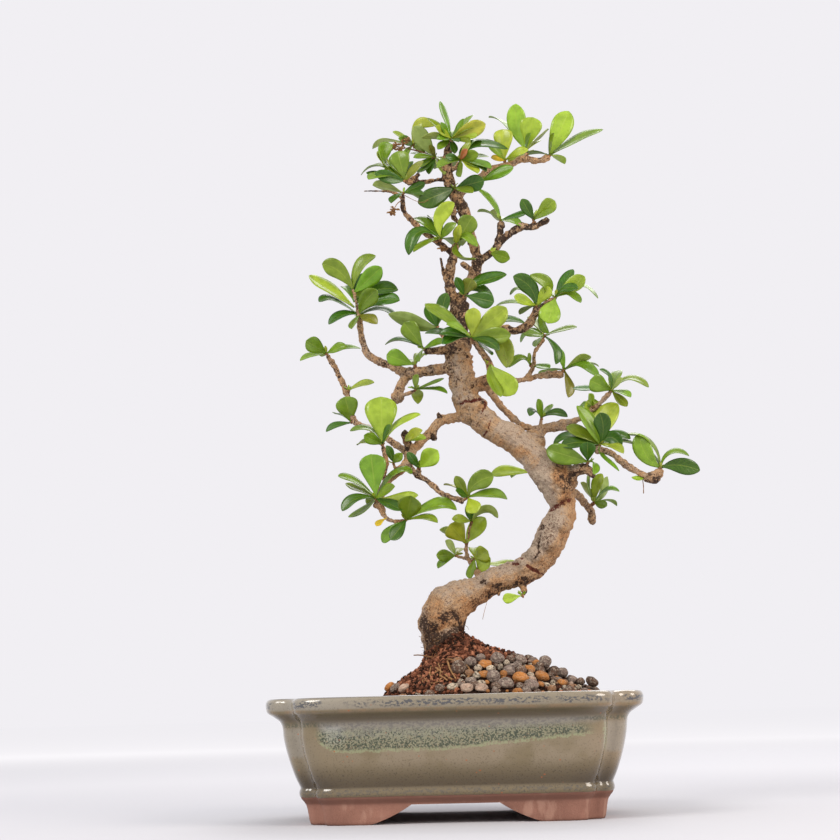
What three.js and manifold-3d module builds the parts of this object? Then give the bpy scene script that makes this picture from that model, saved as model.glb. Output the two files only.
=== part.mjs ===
// A fukien tea bonsai in a glazed tray pot with notched corners.
// Millimetres, +Z up, the pot's long side along X and the front towards -Y.
// The tree was read from the front: each of its points is [x, z] where its line of sight meets the
// plane y = 0, with y as the depth at which it really stands, and EYE is where it was seen from.

import * as THREE from "three";
import { mergeVertices } from "three/addons/utils/BufferGeometryUtils.js";
import Module from "manifold-3d";

const wasm = await Module();
wasm.setup();

const EYE = new THREE.Vector3(40, -1150, 70);
const GAP = 0.35; // clear space between two pieces that touch
const LEAF_ROOM = 0.6; // clear space round a leaf
const SHORTEST_EDGE = 0.04;
const CLAY_COLOUR = 0x8f8a70;
const WOOD_COLOUR = 0xa1866b;
const SOIL_COLOUR = 0x6b3a26;
const PEBBLE_COLOUR = 0x8b7f78;
const MESH_COLOUR = 0x1f2a22;

// The pot. Each level of its outside is [z, inset from the rim, notch, corner radius].
const POT_HALF_LENGTH = 125;
const POT_HALF_DEPTH = 95;
const POT_HEIGHT = 82;
const POT_OUTSIDE = [
  [0, 28, 12, 6],
  [13, 25.2, 12.5, 6],
  [17.2, 22.2, 13, 6.5],
  [20.5, 20.6, 13, 7],
  [23, 21.6, 13, 7],
  [24.5, 21.9, 13, 7],
  [40, 16.2, 13.8, 7.5],
  [57, 11.8, 14.5, 7.5],
  [66, 11, 15, 7.5],
  [69.5, 8.6, 18, 8],
  [71.4, 2.4, 21, 8.5],
  [73, 0.4, 22, 9],
  [79, 0, 22, 9],
  [POT_HEIGHT, 2.6, 22, 8.5],
];
const POT_INSIDE = [
  [22, 32, 12, 6],
  [30, 28.5, 12.5, 6],
  [58, 19.5, 14, 6],
  [78, 15, 17, 6],
  [POT_HEIGHT + 1, 13.5, 18, 6],
];
const FLOOR_TOP = POT_INSIDE[0][0];
const FLOOR_UNDERSIDE = 13;
const FOOT_RING_INSET = 43;
const ARCH_HEIGHT = 12.6;
const FRONT_ARCH = { bottom: 52.5, top: 29.5 };
const SIDE_ARCH = { bottom: 32, top: 15 };
const DRAIN_HOLE_RADIUS = 10;
const DRAIN_HOLE_X = 48;
const DRAIN_MESH = { side: 34, thickness: 1.2, bar: 4, holes: 2 };

// The soil mound round the trunk, and its dressing of pebbles.
const SOIL_BOTTOM = FLOOR_TOP + 2 * GAP + DRAIN_MESH.thickness + 0.6;
const SOIL_EDGE = 78;
const MOUND = { x: 3, y: 2, peak: 127, left: 58, right: 99, front: 82, back: 78, bulge: 0.08 };
const SOIL_RINGS = [1, 0.8, 0.62, 0.46, 0.3];
const PANEL_PARTS = [3, 4, 3, 4]; // right, front, left, back
const DRESSING = { points: 19, rings: [0.8, 0.62, 0.46, 0.3], thickness: 2.6 };
const PEBBLES = {
  from: -2, to: 0.7, // the bearings they lie between
  inner: 0.44, outer: 0.82, rows: 4, pitch: 20, radii: [3.4, 4.8], height: 2.8, sink: 2.1,
};

// The wood. Each limb is a run of [x, z, depth, radius].
const TRUNK_SIDES = 10;
const BRANCH_SIDES = 5;
const TWIG_SIDES = 4;
const TWIG_RADIUS = 2.3;
const TRUNK = [
  [-6, 64, 3, 19], [-5, 84, 3, 17], [-5, 100, 2, 15], [-6.5, 116, 0, 14.6], [-9.5, 129, -1, 15],
  [-6, 139, -2, 16], [-2, 145.5, -2, 15.2], [10.5, 151.5, 0, 11.8], [17, 154.3, 1, 10],
  [27.5, 160.2, 2, 9.1], [39, 164.3, 4, 8.9], [48, 167.2, 5, 9.5], [55, 171.8, 6, 9.5],
  [61, 177.5, 6, 9.9], [66, 184, 6, 10.8], [70, 191, 6, 11.5], [74, 198, 5, 11],
  [77.5, 204, 5, 9.9], [79, 211, 4, 9.6], [77.5, 219.5, 3, 10.9], [75, 228, 2, 12.6],
  [67.5, 238, 1, 11.3], [55, 253, 0, 10.1], [45, 262, -1, 10], [34.5, 267.5, -2, 9.4],
  [25, 275, -3, 9.6], [17, 284, -3, 11], [13.5, 292, -3, 9.7], [10.5, 308, -3, 9.4],
  [8.8, 320, -3, 9.8], [9, 330.5, -3, 9.2],
];
const LIMBS = {
  root_left: [[-10, 108, -5, 6], [-24, 97, -14, 4.4], [-40, 82, -24, 3]],
  root_front: [[-8, 106, -10, 6], [-6, 97, -30, 4.2], [-2, 84, -46, 3]],
  root_back: [[-4, 106, 8, 6], [2, 96, 26, 4.4], [8, 82, 44, 3]],
  root_right: [[2, 104, 2, 6.5], [18, 97, 10, 4.4], [38, 82, 14, 3]],
  neck_stub: [[14, 300, -3, 5], [27, 303, -8, 5.2], [34, 306, -10, 4.4]],
  bend_knob: [[78, 231, 0, 6], [86, 234.5, -4, 4.8], [92, 236, -8, 4.3], [97.5, 235.5, -10, 3.6]],
  bend_knob_spur: [[94, 236, -9, 2.4], [97, 240.5, -11, 1.6]],
  under_stub: [[49, 161, 5, 3], [49, 156, 4, 2.4], [50, 152, 2, 1.9]],
  under_hook: [[31, 156, 2, 1.8], [32, 150.5, 0, 1.1]],
  right_slender: [
    [27, 302, -4, 3.4], [36.5, 287, 8, 3.2], [43.5, 279, 12, 3.1], [54, 270, 13, 3],
    [66, 267.5, 11, 2.9],
  ],
  right_high: [
    [65, 267.5, 11, 2.6], [80, 271.5, 6, 2.3], [90, 272.8, 3, 2.1], [97, 276, 2, 2], [103, 280, 0, 2.2],
    [112.5, 288.5, -2, 1.9], [115.5, 291.5, -2, 1.7],
  ],
  right_low: [
    [65, 267.5, 11, 2.7], [83, 267.5, 3, 2.4], [90, 265.5, 0, 2.4], [97.5, 261, -3, 2.4],
    [101.5, 256, -6, 2.5],
    [106, 251.5, -8, 2.7], [113.5, 249, -8, 2.4], [126, 239, -8, 2.5], [140, 230, -6, 2.8],
  ],
  right_low_knob: [[139, 230, -6, 3], [143.5, 229.5, -6, 4.2], [148, 234, -6, 2.8]],
  junction_spur: [[65, 267, 12, 2], [66, 273, 14, 1.5]],
  left: [
    [6, 314, -3, 5.5], [-3, 314, -2, 4.2], [-13, 313, 0, 3.9], [-29.5, 312, 8, 4], [-38, 316.5, 11, 3.1],
    [-51.5, 322.5, 15, 2.8], [-57, 327.5, 16, 2.6], [-60.5, 337.5, 17, 2.5], [-62.5, 353, 18, 2.3],
  ],
  left_cut: [[-29.5, 311, 8, 3.8], [-32, 305, 6, 3.5], [-35, 299, 3, 3.4], [-36.5, 294.5, 2, 4]],
  left_cut_twig: [[-35, 296, 2, 1.6], [-29, 296.5, -4, 1.5], [-24.5, 298.5, -8, 1.3]],
  trunk_top_stub: [[4, 328, -4, 3.6], [-5, 327.5, -4, 3.1], [-13.8, 327.5, -4, 2.8]],
  trunk_top_twig: [[4, 329, -6, 2.2], [-2, 338, -7, 1.7], [-5, 342.5, -7, 1.4]],
  far_left: [
    [-28, 252, -13, 2.8], [-42, 263, 6, 2.5], [-55.5, 272, 20, 2.3], [-67, 277.5, 30, 2.2],
    [-73, 299.5, 36, 2.2],
    [-77.5, 311, 38, 2.2], [-83, 321.5, 40, 2.1], [-85.5, 326, 40, 1.8],
  ],
  left_low: [
    [14, 279, -3, 4.5], [4, 278, -5, 3.6], [-4, 276.5, -7, 3.4], [-16, 265.5, -11, 3.2],
    [-27, 253.5, -15, 3.3],
    [-30, 247, -18, 3.2], [-37.5, 239.5, -22, 2.8], [-46.5, 232, -26, 2.9], [-52, 217, -29, 2.8],
  ],
  left_low_dead: [[-28, 255, -14, 3], [-30, 262, -18, 3], [-31, 267, -20, 3]],
  left_low_blob: [[-10, 269, -9, 2.4], [-10.5, 262.5, -13, 3.2]],
  left_low_nub: [[-6, 275, -8, 1.8], [-7, 280.5, -9, 1.6]],
  left_low_riser: [
    [-44, 234, -25, 2.3], [-47.5, 237.5, -24, 2.1], [-45.5, 245, -23, 2], [-46, 254, -22, 1.9],
    [-47.3, 258, -22, 1.6],
  ],
  left_low_side: [[-38, 240, -22, 1.5], [-39.5, 244.5, -26, 1.3]],
  left_lowest: [[-50, 216, -29, 2.6], [-45.5, 207, -32, 1.7], [-39, 204.5, -35, 1.6], [-34, 205, -36, 1.5]],
  front_low: [
    [-29, 246, -18, 2.2], [-24, 238, -23, 2], [-15.5, 232.5, -25, 1.9], [-5.5, 223.5, -26, 1.9],
    [8, 217.8, -26, 2.1],
  ],
  front_low_stub: [[-23.5, 237, -24, 2.2], [-22, 240.5, -28, 2.1]],
  front_shoot: [
    [27, 303, -8, 3], [31.5, 306, -16, 2.6], [31.3, 311, -24, 2.4], [30, 318, -30, 2.3],
    [23, 329, -36, 2.1],
    [20, 333.5, -37, 1.8],
  ],
  middle_left: [
    [9, 329, -3, 6], [11, 342, -4, 4.7], [8, 357, -4, 4.2], [4, 373, -4, 3.8], [3.5, 382, -4, 3.5],
    [7, 397, -4, 3.3],
    [8.5, 404, -6, 2.6],
  ],
  middle_dead: [[11, 345, -4, 4.2], [13, 353, -5, 4.4], [13.5, 359.5, -6, 4]],
  middle_dead_spur: [[13.5, 358, -6, 2], [14, 365, -10, 1.5]],
  middle_left_arm: [
    [7, 399, -4, 2], [1, 404.5, -6, 1.7], [-13, 416, -9, 1.6], [-24, 427.5, -12, 1.5],
    [-28.5, 434, -14, 1.5],
    [-28.5, 444, -15, 1.3],
  ],
  left_dead_twig: [[-28.5, 443, -15, 1.3], [-37, 448, -15, 1.1], [-57, 450, -17, 0.8]],
  middle_right: [
    [8, 356, -4, 3.8], [13, 368, -2, 3.6], [20, 380, 0, 3.7], [24.5, 393, 0, 3.8], [21, 409, -1, 3.4],
    [17, 418, -1, 3.2],
    [13, 437, -2, 2.9], [7.5, 446, -2, 2.8], [4.5, 461, -2, 2.5], [5.5, 477, -2, 2.1],
    [7.5, 484.5, -2, 1.7],
  ],
  middle_strand: [[16, 419, -2, 2], [8, 428, -6, 2], [10, 440, -3, 2]],
  middle_spur: [[5.2, 463, -2, 2.1], [11, 464.5, -8, 1.8], [13.8, 467.8, -13, 1.4]],
  middle_side_stub: [[22, 385, -1, 1.8], [14, 391, -6, 1.5]],
  upper_left: [
    [4.5, 457, -2, 1.7], [-5, 455.5, -6, 1.6], [-15, 454.8, -10, 1.8], [-24, 455.5, -14, 2.6],
  ],
  upper_left_gnarl: [[-22, 456, -13, 2.3], [-17, 460.5, -12, 1.8]],
  crown_left: [[5, 470, -2, 1.5], [-3, 471.5, 5, 1.3], [-12, 477, 12, 1.2], [-19, 481.8, 16, 1]],
  black: [
    [24, 393, 0, 3], [35.5, 402, -6, 2.7], [41, 408.5, -10, 2.8], [50, 414, -14, 2.7],
    [57, 417.5, -17, 2.8],
    [65, 417, -19, 2.5], [75.5, 421.5, -20, 2.5],
  ],
  black_fork: [[41, 408.5, -10, 2.8], [42, 414, -9, 2.9], [42.5, 419.5, -8, 2.7]],
  black_spur: [[64, 417, -19, 1.8], [66, 420, -21, 1.4]],
  right_top: [
    [9.5, 440.5, -2, 2.6], [28.5, 456.5, 2, 2.4], [37, 463, 6, 2.3], [50, 465, 10, 2.3],
    [62, 469.5, 13, 2.6],
    [69.5, 467.5, 15, 2.4], [77.5, 468.8, 17, 2.6],
  ],
  right_top_spur: [[62.5, 469, 13, 1.7], [63, 473, 11, 1.3]],
  centre: [
    [14, 333, -3, 4], [25, 341, -8, 3.2], [31, 339.5, -9, 3.1], [44.5, 341.5, -10, 3],
    [50.5, 340, -11, 2.9],
    [61, 345.5, -12, 2.9], [65.3, 355, -12, 2.4],
  ],
  centre_fork: [[64.5, 351, -12, 2.4], [72.5, 359, -15, 2.3], [78, 361.5, -16.5, 2]],
  rear: [
    [30, 302, -6, 3], [38, 303, 14, 2.6], [45, 303.5, 28, 2.3], [56, 304, 46, 2], [63.5, 305.5, 52, 2.1],
    [73, 307, 56, 2.7], [81, 306.5, 58, 3],
  ],
  rear_riser: [[56, 304, 46, 1.7], [62, 313, 48, 1.7], [63.5, 323.5, 47, 1.6], [69.8, 332.5, 45, 1.4]],
  rear_low_right: [
    [80, 222, 4, 3.4], [88, 221, 24, 3], [92.5, 216, 38, 2.8], [97, 210.5, 46, 2.7], [99.5, 205.5, 48, 2.7],
    [99.5, 200, 49, 2.8],
  ],
  rear_low_left: [
    [20, 158, 6, 3], [19, 163, 20, 2.6], [16, 169, 36, 2.2], [12, 175.5, 46, 1.9], [10, 183, 53, 1.5],
    [13.2, 199.5, 51, 1.2],
  ],
  rear_low_twig: [[12, 176, 47, 1.4], [4.2, 178.6, 55, 1.2]],
  far_centre: [[66, 232, 6, 2.4], [62, 234, 36, 1.7], [60.2, 236, 67, 1.3]],
};

// The leaves. A spray is a short green shoot at `hub` [x, z, depth] with its leaves, and `back` more leaves
// on the side away from the viewer. A leaf is [x, z] of its tip, how much nearer the tip is than the hub,
// the width seen (negative where the underside shows), its tone, and a point [x, z] that it bends through.
const TONES = { y: 0xa2bc45, m: 0x6e9a2b, d: 0x2f6b1e, p: 0xb4c479, o: 0x7d8a35 };
const SPRAYS = {
  crown_tip: { hub: [8, 487, -2], back: 1, leaves: [
    [-1, 515.5, 4, 4, "m"], [-8, 505.5, 8, 4, "m", 3, 492], [25, 504.5, -6, 3, "m"],
    [26.5, 498.5, 8, 2.5, "m"],
    [33.5, 497.5, 10, 9, "y"], [-12, 490.5, 14, -5, "p"]] },
  crown_centre: { hub: [-4, 473.5, 7], back: 1, leaves: [
    [-19, 498, 6, 9, "p"], [-22, 477.5, -10, 2, "m"], [1, 460, 14, 6, "p"]] },
  crown_right: { hub: [14.5, 470.5, -16], back: 1, leaves: [
    [28.5, 475.5, 14, 8, "m"], [50, 483, -4, 6, "d", 23, 481], [33.5, 461.5, 8, 3, "d", 24, 468],
    [35.5, 473, -10, 3, "m"]] },
  crown_left_high: { hub: [-20.5, 483.5, 17], back: 0, leaves: [
    [-5.5, 498, 8, 7, "m", -20, 494], [-35, 494.5, 6, 3, "m"], [-30, 490.5, 16, 6, "m"],
    [-50, 487.5, -12, -1.5, "p"]] },
  crown_left_low: { hub: [-26.8, 456.4, -15.3], back: 1, leaves: [
    [-32.5, 479, 6, 12, "o"], [-48.5, 464, 10, 9, "d", -36, 454], [-35, 485, -6, 4, "m", -43, 474],
    [-61, 467, -8, 2, "m", -43, 468], [-53.5, 457.5, 12, 3, "m", -42, 461.5],
    [-13, 471, 10, 5, "o", -22, 462]] },
  left_arm_tip: { hub: [-28.5, 447, -15], back: 1, leaves: [
    [-50.5, 454.5, -8, -6, "p"], [-37.5, 440.5, 16, 3.5, "d"]] },
  upper_stem: { hub: [9.5, 449, -7], back: 0, leaves: [
    [-17, 439, 10, 13, "d"], [31, 454, 10, 11, "d"], [23, 445, 14, 5, "m"]] },
  right_top_inner: { hub: [47, 468.5, 9], back: 0, leaves: [
    [46, 493, 4, 13, "y"], [63, 478, 12, 5, "y"], [37, 470, 10, 3, "y"]] },
  right_top_low: { hub: [29.3, 453.2, 0.5], back: 0, leaves: [[53.5, 461.5, 8, 8, "m", 40, 453]] },
  right_top_mid: { hub: [63, 475.5, 11], back: 1, leaves: [
    [57, 511, 2, 13, "y", 57, 493], [69, 501, 8, 15, "y"], [39.5, 506.5, -8, 3, "m", 50, 494],
    [67, 489, 14, 2.5, "m"], [73, 484, -12, 4, "y"], [81, 490, -4, -1.5, "p"]] },
  right_top_outer: { hub: [80, 471, 17], back: 2, leaves: [
    [95.5, 504.5, 2, 15, "y"], [120, 488.5, 2, 5, "m"], [84.5, 488, 14, 2.5, "m"]] },
  black_fork: { hub: [42.5, 423, -8], back: 2, leaves: [
    [25.5, 447, -4, 3, "m", 42, 438], [36, 430, -14, -5, "p"], [63, 427, 8, 4, "d"],
    [57, 420.5, 14, 3, "m"]] },
  black_tip: { hub: [66.5, 422.3, -22], back: 2, leaves: [
    [58.5, 438.5, 10, 8, "d"], [82.5, 436.5, 6, 10, "m"], [80, 429.5, 14, 3.5, "m"]] },
  middle_left_arm: { hub: [-1.5, 411, -10], back: 1, leaves: [
    [9, 438, 4, 10, "y", -2, 427], [-26, 401, 6, 7, "d", -17, 417], [-22, 402.5, 14, 3, "m", -10, 409],
    [-22, 431, -6, 7, "m"], [-9, 431, -10, 6, "d"], [8, 422.5, 14, 6, "m"]] },
  middle_right_arm: { hub: [9.5, 407, -9], back: 1, leaves: [
    [22, 427, 6, 13, "m"], [12, 420, 14, 6, "y"], [25, 405.5, 12, 4, "m", 15, 413],
    [23.5, 392.5, 14, 3, "m", 10, 397]] },
  black_start: { hub: [34.3, 399, -8.5], back: 0, leaves: [[49, 393.5, 14, 9, "m"]] },
  middle_low: { hub: [14, 368, -12], back: 0, leaves: [
    [8.5, 381.5, 12, 6, "d"], [20, 380, 8, 10, "o"], [45.5, 381, 2, 8, "d", 25, 376.5],
    [36, 362, 8, 11, "d"],
    [36, 365, -4, 6, "d", 22, 373]] },
  trunk_top_left: { hub: [-6, 345, -8], back: 1, leaves: [
    [2, 370, 8, 9, "d"], [-14, 361, 8, 8, "d"], [-38, 351.5, -2, -10, "p", -17, 341]] },
  trunk_top_side: { hub: [-16, 329.3, -4], back: 0, leaves: [
    [-30, 349, 6, 12, "m"], [-44.5, 336.5, -4, 2, "d", -30, 338.5], [-21, 321.5, 14, 2, "m"],
    [-1.5, 334, 14, 4, "m"]] },
  front_shoot_spray: { hub: [18.5, 336.2, -39], back: 0, leaves: [
    [-14.5, 362.5, 0, 8, "m"], [1.5, 348, 12, 4, "m"], [-4, 342.5, 6, 6, "d"],
    [-15, 341, -8, 4, "d", 0, 341],
    [-2.5, 331.5, 2, 7, "d", 8, 338.5], [21, 358, 10, 10, "y"], [44.5, 357.5, 4, 13, "y"],
    [47, 337, 8, 11, "m"],
    [38, 329.5, 14, 6, "d"], [57, 345.5, -10, 5, "d", 38, 347], [32, 322, 10, 2, "d"],
    [43, 313, 2, 12, "o", 38, 333]] },
  front_hanging: { hub: [31.2, 316.4, -33.4], back: 0, leaves: [
    [48, 294, 4, 14, "y"], [37, 291, 12, 8, "m", 32, 305]] },
  centre_inner: { hub: [66, 358, -13], back: 2, leaves: [
    [50, 380.5, 4, 11, "d", 62, 372], [62, 381, 12, 7, "m", 75, 372], [76, 371.5, 8, 9, "y"],
    [46, 369, -4, 2.5, "m", 57, 370], [49.5, 365, 12, 7, "y"], [37, 361, -6, 2, "m"]] },
  centre_outer: { hub: [80, 363.5, -18], back: 1, leaves: [
    [94, 382.5, -6, 7, "d"], [101.5, 378, 4, 10, "y"], [97, 368.5, 12, 5, "d", 87, 370],
    [113, 365, -4, 2, "m", 96, 371.5], [98, 359, 8, 3, "m", 90, 366], [74, 346, 12, 14, "y"],
    [74.5, 338, -2, 4, "m", 70, 350]] },
  rear_middle: { hub: [70.5, 335.5, 45], back: 1, leaves: [
    [94.5, 341, 6, 3, "m"], [57, 338, 14, 5, "m"], [51.5, 333, -8, 4, "m", 61, 339.5],
    [64, 328, 14, 3, "m"],
    [81.5, 315, 4, 5, "d", 80, 328]] },
  rear_right: { hub: [84, 310, 58], back: 1, leaves: [
    [80, 326, 10, 5, "m"], [103.5, 320, 6, -6, "p"], [109, 315.5, -8, 2, "m"],
    [109, 304.5, 10, 5, "m", 95, 313],
    [84.5, 290.5, 8, 6, "o"]] },
  rear_inner: { hub: [60, 314, 52], back: 0, leaves: [
    [44.5, 313.5, 6, 4, "m", 54, 320], [74, 311.5, 14, 4, "m"], [58, 323, 14, 3, "m"]] },
  junction: { hub: [66.5, 275.8, 15], back: 0, leaves: [
    [63.5, 289.5, 14, 5, "m"], [74.5, 284, -12, 3, "m"], [84.5, 279, 8, -6, "p", 75, 281.5],
    [57.5, 277, 12, 3, "d", 61, 281.5]] },
  right_high_tip: { hub: [117, 293.5, -2], back: 2, leaves: [
    [102, 302, 12, 12, "m"], [109.5, 309.5, 2, 2, "d", 116, 304], [125.5, 302, 14, 3, "p"],
    [144.5, 296.5, 2, 3.5, "m", 130, 302], [130.5, 289, 14, 3, "m"], [127.5, 281.5, 8, 6, "o"],
    [90, 294.5, -4, 3.5, "d", 104, 295.5]] },
  right_high_mid: { hub: [103, 283, -3], back: 0, leaves: [
    [101, 292, 12, 4, "m"], [94, 284.5, -12, 4, "m"]] },
  right_middle: { hub: [107, 255, -10], back: 0, leaves: [
    [93, 284, 6, 9, "m", 102, 266], [108, 278, 10, 11, "d", 110, 266], [84, 269, 2, 8, "y"],
    [73, 257, -4, 5, "d", 88, 264.5], [122, 253, 10, 11, "d", 115, 260], [128.5, 259, -4, 5, "d", 118, 266],
    [123.5, 251, 16, 4, "y"], [133, 253.5, -10, 2, "m", 121, 260], [120.5, 237, 4, 2.5, "m", 109, 246],
    [121, 283, -10, 14, "y", 110, 270]] },
  right_knob: { hub: [98, 242.8, -12.5], back: 0, leaves: [
    [69, 253, 4, 13, "m"], [98.5, 257, 12, 10, "d"], [73, 246, -4, 6, "m"],
    [101, 233.5, 12, 3, "m", 103, 241]] },
  right_low_tip: { hub: [149, 236.6, -6], back: 1, leaves: [
    [135, 262, 2, 12, "m", 139, 247], [123, 264, -6, 2, "m", 143, 258], [169.5, 249.5, 4, 3, "m", 155, 250],
    [176.5, 234, 2, 10.5, "d", 161, 238.5]] },
  rear_low_right_spray: { hub: [101.5, 213.5, 46], back: 1, leaves: [
    [107, 234, 6, 8, "y", 103, 225], [113, 232, -6, -6, "p", 109, 221], [119, 223.5, 8, 1.5, "m", 109, 221],
    [110.5, 210.5, 14, 6, "m"], [92, 228, -8, -4, "p"], [98, 236, 4, 2, "m", 97, 226]] },
  left_high: { hub: [-62.5, 356, 18], back: 1, leaves: [
    [-89, 395, 2, 11, "m", -71, 378], [-51.5, 402.5, 4, 8, "y", -65, 388],
    [-49, 393.5, 12, 11, "m", -60, 378],
    [-55, 387, -6, 7, "d", -65, 375], [-99, 384.5, 2, 7.5, "y", -79, 372],
    [-92, 369.5, 8, 3, "d", -85, 371.5],
    [-85, 351, 6, 5, "d"], [-49, 374.5, 16, 11, "m"], [-34.5, 376.5, 4, 9, "d", -53, 373],
    [-33, 366.5, 8, 8, "d", -52, 364], [-36.5, 353, -4, 3, "d", -47, 365], [-50, 350.5, 16, 8, "o"],
    [-68, 346, 14, 4, "m"]] },
  left_middle: { hub: [-23, 317.4, 2], back: 2, leaves: [[-43, 326, 8, 11, "m"]] },
  left_cut_spray: { hub: [-23, 299.5, -9], back: 1, leaves: [
    [-21.5, 310, 14, 4, "m"], [-2, 305, 6, 2, "m"], [0, 297, 8, 2, "m"]] },
  far_left_tip: { hub: [-86.5, 328.5, 40], back: 1, leaves: [
    [-101.5, 338.5, 12, 11, "m"], [-73, 334, 12, 6, "m"], [-62, 332, -6, 2.5, "m"],
    [-106.5, 325.5, 6, 3, "m"]] },
  far_left_low: { hub: [-69.5, 277, 34], back: 1, leaves: [
    [-74, 296, 10, 15, "m"], [-88.5, 272.5, 4, 4, "d"]] },
  far_left_side: { hub: [-71, 300.5, 33], back: 0, leaves: [[-52.5, 306, 8, 4, "m", -62, 308]] },
  left_low_riser_spray: { hub: [-47.5, 260.5, -22], back: 0, leaves: [
    [-48, 296, 2, 18, "y"], [-19.5, 280.5, 4, 4.5, "m", -36, 278.5], [-41, 274, 14, 3, "d"],
    [-61.5, 268, 14, 8, "m"],
    [-66.5, 263, -10, 4, "m"], [-70, 270, 0, 3, "m", -57, 272]] },
  left_low_dead_spray: { hub: [-31.5, 262, -22], back: 0, leaves: [
    [-20, 270, 14, 6, "y"], [-16.5, 265, 4, 4, "y"]] },
  left_low_small: { hub: [-40, 247, -28], back: 0, leaves: [
    [-44, 259, 12, 5, "d"], [-34, 253, 12, 6, "m"]] },
  left_low_middle: { hub: [-21.7, 242.6, -30.5], back: 0, leaves: [
    [-9, 254, 14, 12, "y"], [-29, 253, 12, 6, "d"]] },
  left_low_big: { hub: [-53, 221.5, -33], back: 1, leaves: [
    [-55.5, 253, 2, 17, "m"], [-79, 235, 4, 5, "m", -69, 239], [-74.5, 231, -8, 4, "m"],
    [-78, 214, 6, 7, "d", -66, 225.5],
    [-72, 207.5, -4, 3.5, "m", -60, 217], [-26.5, 239, -4, 4.5, "m", -38, 242], [-39, 229.5, 16, 6, "m"],
    [-35, 212, 14, 7, "d"], [-21.5, 224, 6, 8, "y", -38, 220.5]] },
  left_lowest_spray: { hub: [-32, 205.5, -38], back: 0, leaves: [
    [-28, 223, 14, 15, "m"], [-43.5, 191.5, 12, 9, "d"], [-51, 191, -4, 8, "m"],
    [-53, 201, 4, 3.5, "y", -43, 209],
    [-9, 205, 6, 4.5, "m", -21, 210.5], [5, 217, -4, 8, "m", -14, 217]] },
  front_low_spray: { hub: [12.3, 220.5, -26], back: 1, leaves: [
    [4, 235.5, 10, 7, "m"], [2.5, 224.5, 16, 5, "d"], [31, 235, 4, 12, "m", 18, 230],
    [40.5, 221, 2, 6, "m"],
    [18, 209, 12, 10, "y"]] },
  rear_low_top: { hub: [14, 203, 50], back: 2, leaves: [
    [12, 215, 12, 6, "d"], [2, 206, 14, 6, "y"], [34, 205.5, 6, -6, "p", 24, 211]] },
  rear_low_middle: { hub: [10.3, 187.5, 51], back: 0, leaves: [
    [24.5, 206, -4, 9, "y", 14, 195], [0, 201, 10, -12, "p"], [-7, 199, -6, -6, "p"]] },
  rear_low_tip: { hub: [2.6, 179.3, 56.5], back: 1, leaves: [
    [-11, 180, 14, 8, "o"], [-4, 190, -12, -4, "p"], [-10, 171.5, 12, 2.5, "m"]] },
  rear_low_base: { hub: [16, 176.5, 43], back: 1, leaves: [
    [25.5, 182, 16, 10, "y"], [26, 171, 12, 10, "y"], [13, 163.5, 14, 4, "m"],
    [44, 176.5, -6, 2, "y", 31, 171.5]] },
  under_bend: { hub: [48, 149.8, 0], back: 0, leaves: [[34.5, 147.5, 4, 7, "y"]] },
  far_centre_spray: { hub: [59.4, 236.5, 70], back: 2, leaves: [[29, 238, 4, -8, "p"]] },
};
const HUB_RADIUS = 3;
const LEAF = {
  widthShare: 0.42, narrowest: 5.5, broadest: 16, // of the true width, against the length
  fold: 0.16, arch: 0.16,
  stations: [[0.25, 0.22, 0.7], [0.67, 1, 0.55]], // along the rib, share of the half width, half thickness
  broadEnd: [[0.87, -0.82], [0.975, -0.42], [1, 0], [0.975, 0.42], [0.87, 0.82]],
  slimEnd: [[0.92, -0.66], [1, 0], [0.92, 0.66]],
  broadFrom: 12,
};
const BACK_LEAF = { shortest: 17, longest: 27, swing: 2.4, lowest: -0.2, highest: 0.9 };
const GOLDEN = 0.6180339887; // spreads repeats evenly, by the fractional part of its multiples
const PLASTIC = 0.7548776662;
const THIRD = 0.5698402909;

const share = (k, step) => (k * step) % 1;

// The real place of a point that was read at x, z and stands at depth y.
function sight(x, z, y) {
  const t = (y - EYE.y) / -EYE.y;
  return new THREE.Vector3(EYE.x + (x - EYE.x) * t, y, EYE.z + (z - EYE.z) * t);
}

// A closed solid from a geometry, with its faces out.
function solidFrom(geometry) {
  const bare = geometry.clone();
  bare.deleteAttribute("normal");
  bare.deleteAttribute("uv");
  const merged = mergeVertices(bare, 1e-4);
  const vertProperties = new Float32Array(merged.attributes.position.array);
  const triVerts = new Uint32Array(merged.index.array);
  const solid = new wasm.Manifold(new wasm.Mesh({ numProp: 3, vertProperties, triVerts }));
  if (solid.volume() > 0) return solid;
  for (let i = 0; i < triVerts.length; i += 3) triVerts.subarray(i + 1, i + 3).reverse();
  return new wasm.Manifold(new wasm.Mesh({ numProp: 3, vertProperties, triVerts }));
}

// The largest body of a solid, without its scraps and sealed hollows.
function mainBody(solid) {
  return solid.decompose().reduce((a, b) => (b.volume() > a.volume() ? b : a));
}

const joined = (solids) => solids.reduce((a, b) => a.add(b));

// A named mesh of a solid.
function meshOf(name, solid, colour, roughness) {
  const made = mainBody(solid).getMesh();
  const geometry = new THREE.BufferGeometry();
  geometry.setAttribute("position", new THREE.BufferAttribute(made.vertProperties, 3));
  geometry.setIndex(new THREE.BufferAttribute(made.triVerts, 1));
  geometry.computeVertexNormals();
  const material = new THREE.MeshStandardMaterial({ color: colour, roughness, metalness: 0 });
  const mesh = new THREE.Mesh(geometry, material);
  mesh.name = name;
  return mesh;
}

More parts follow.
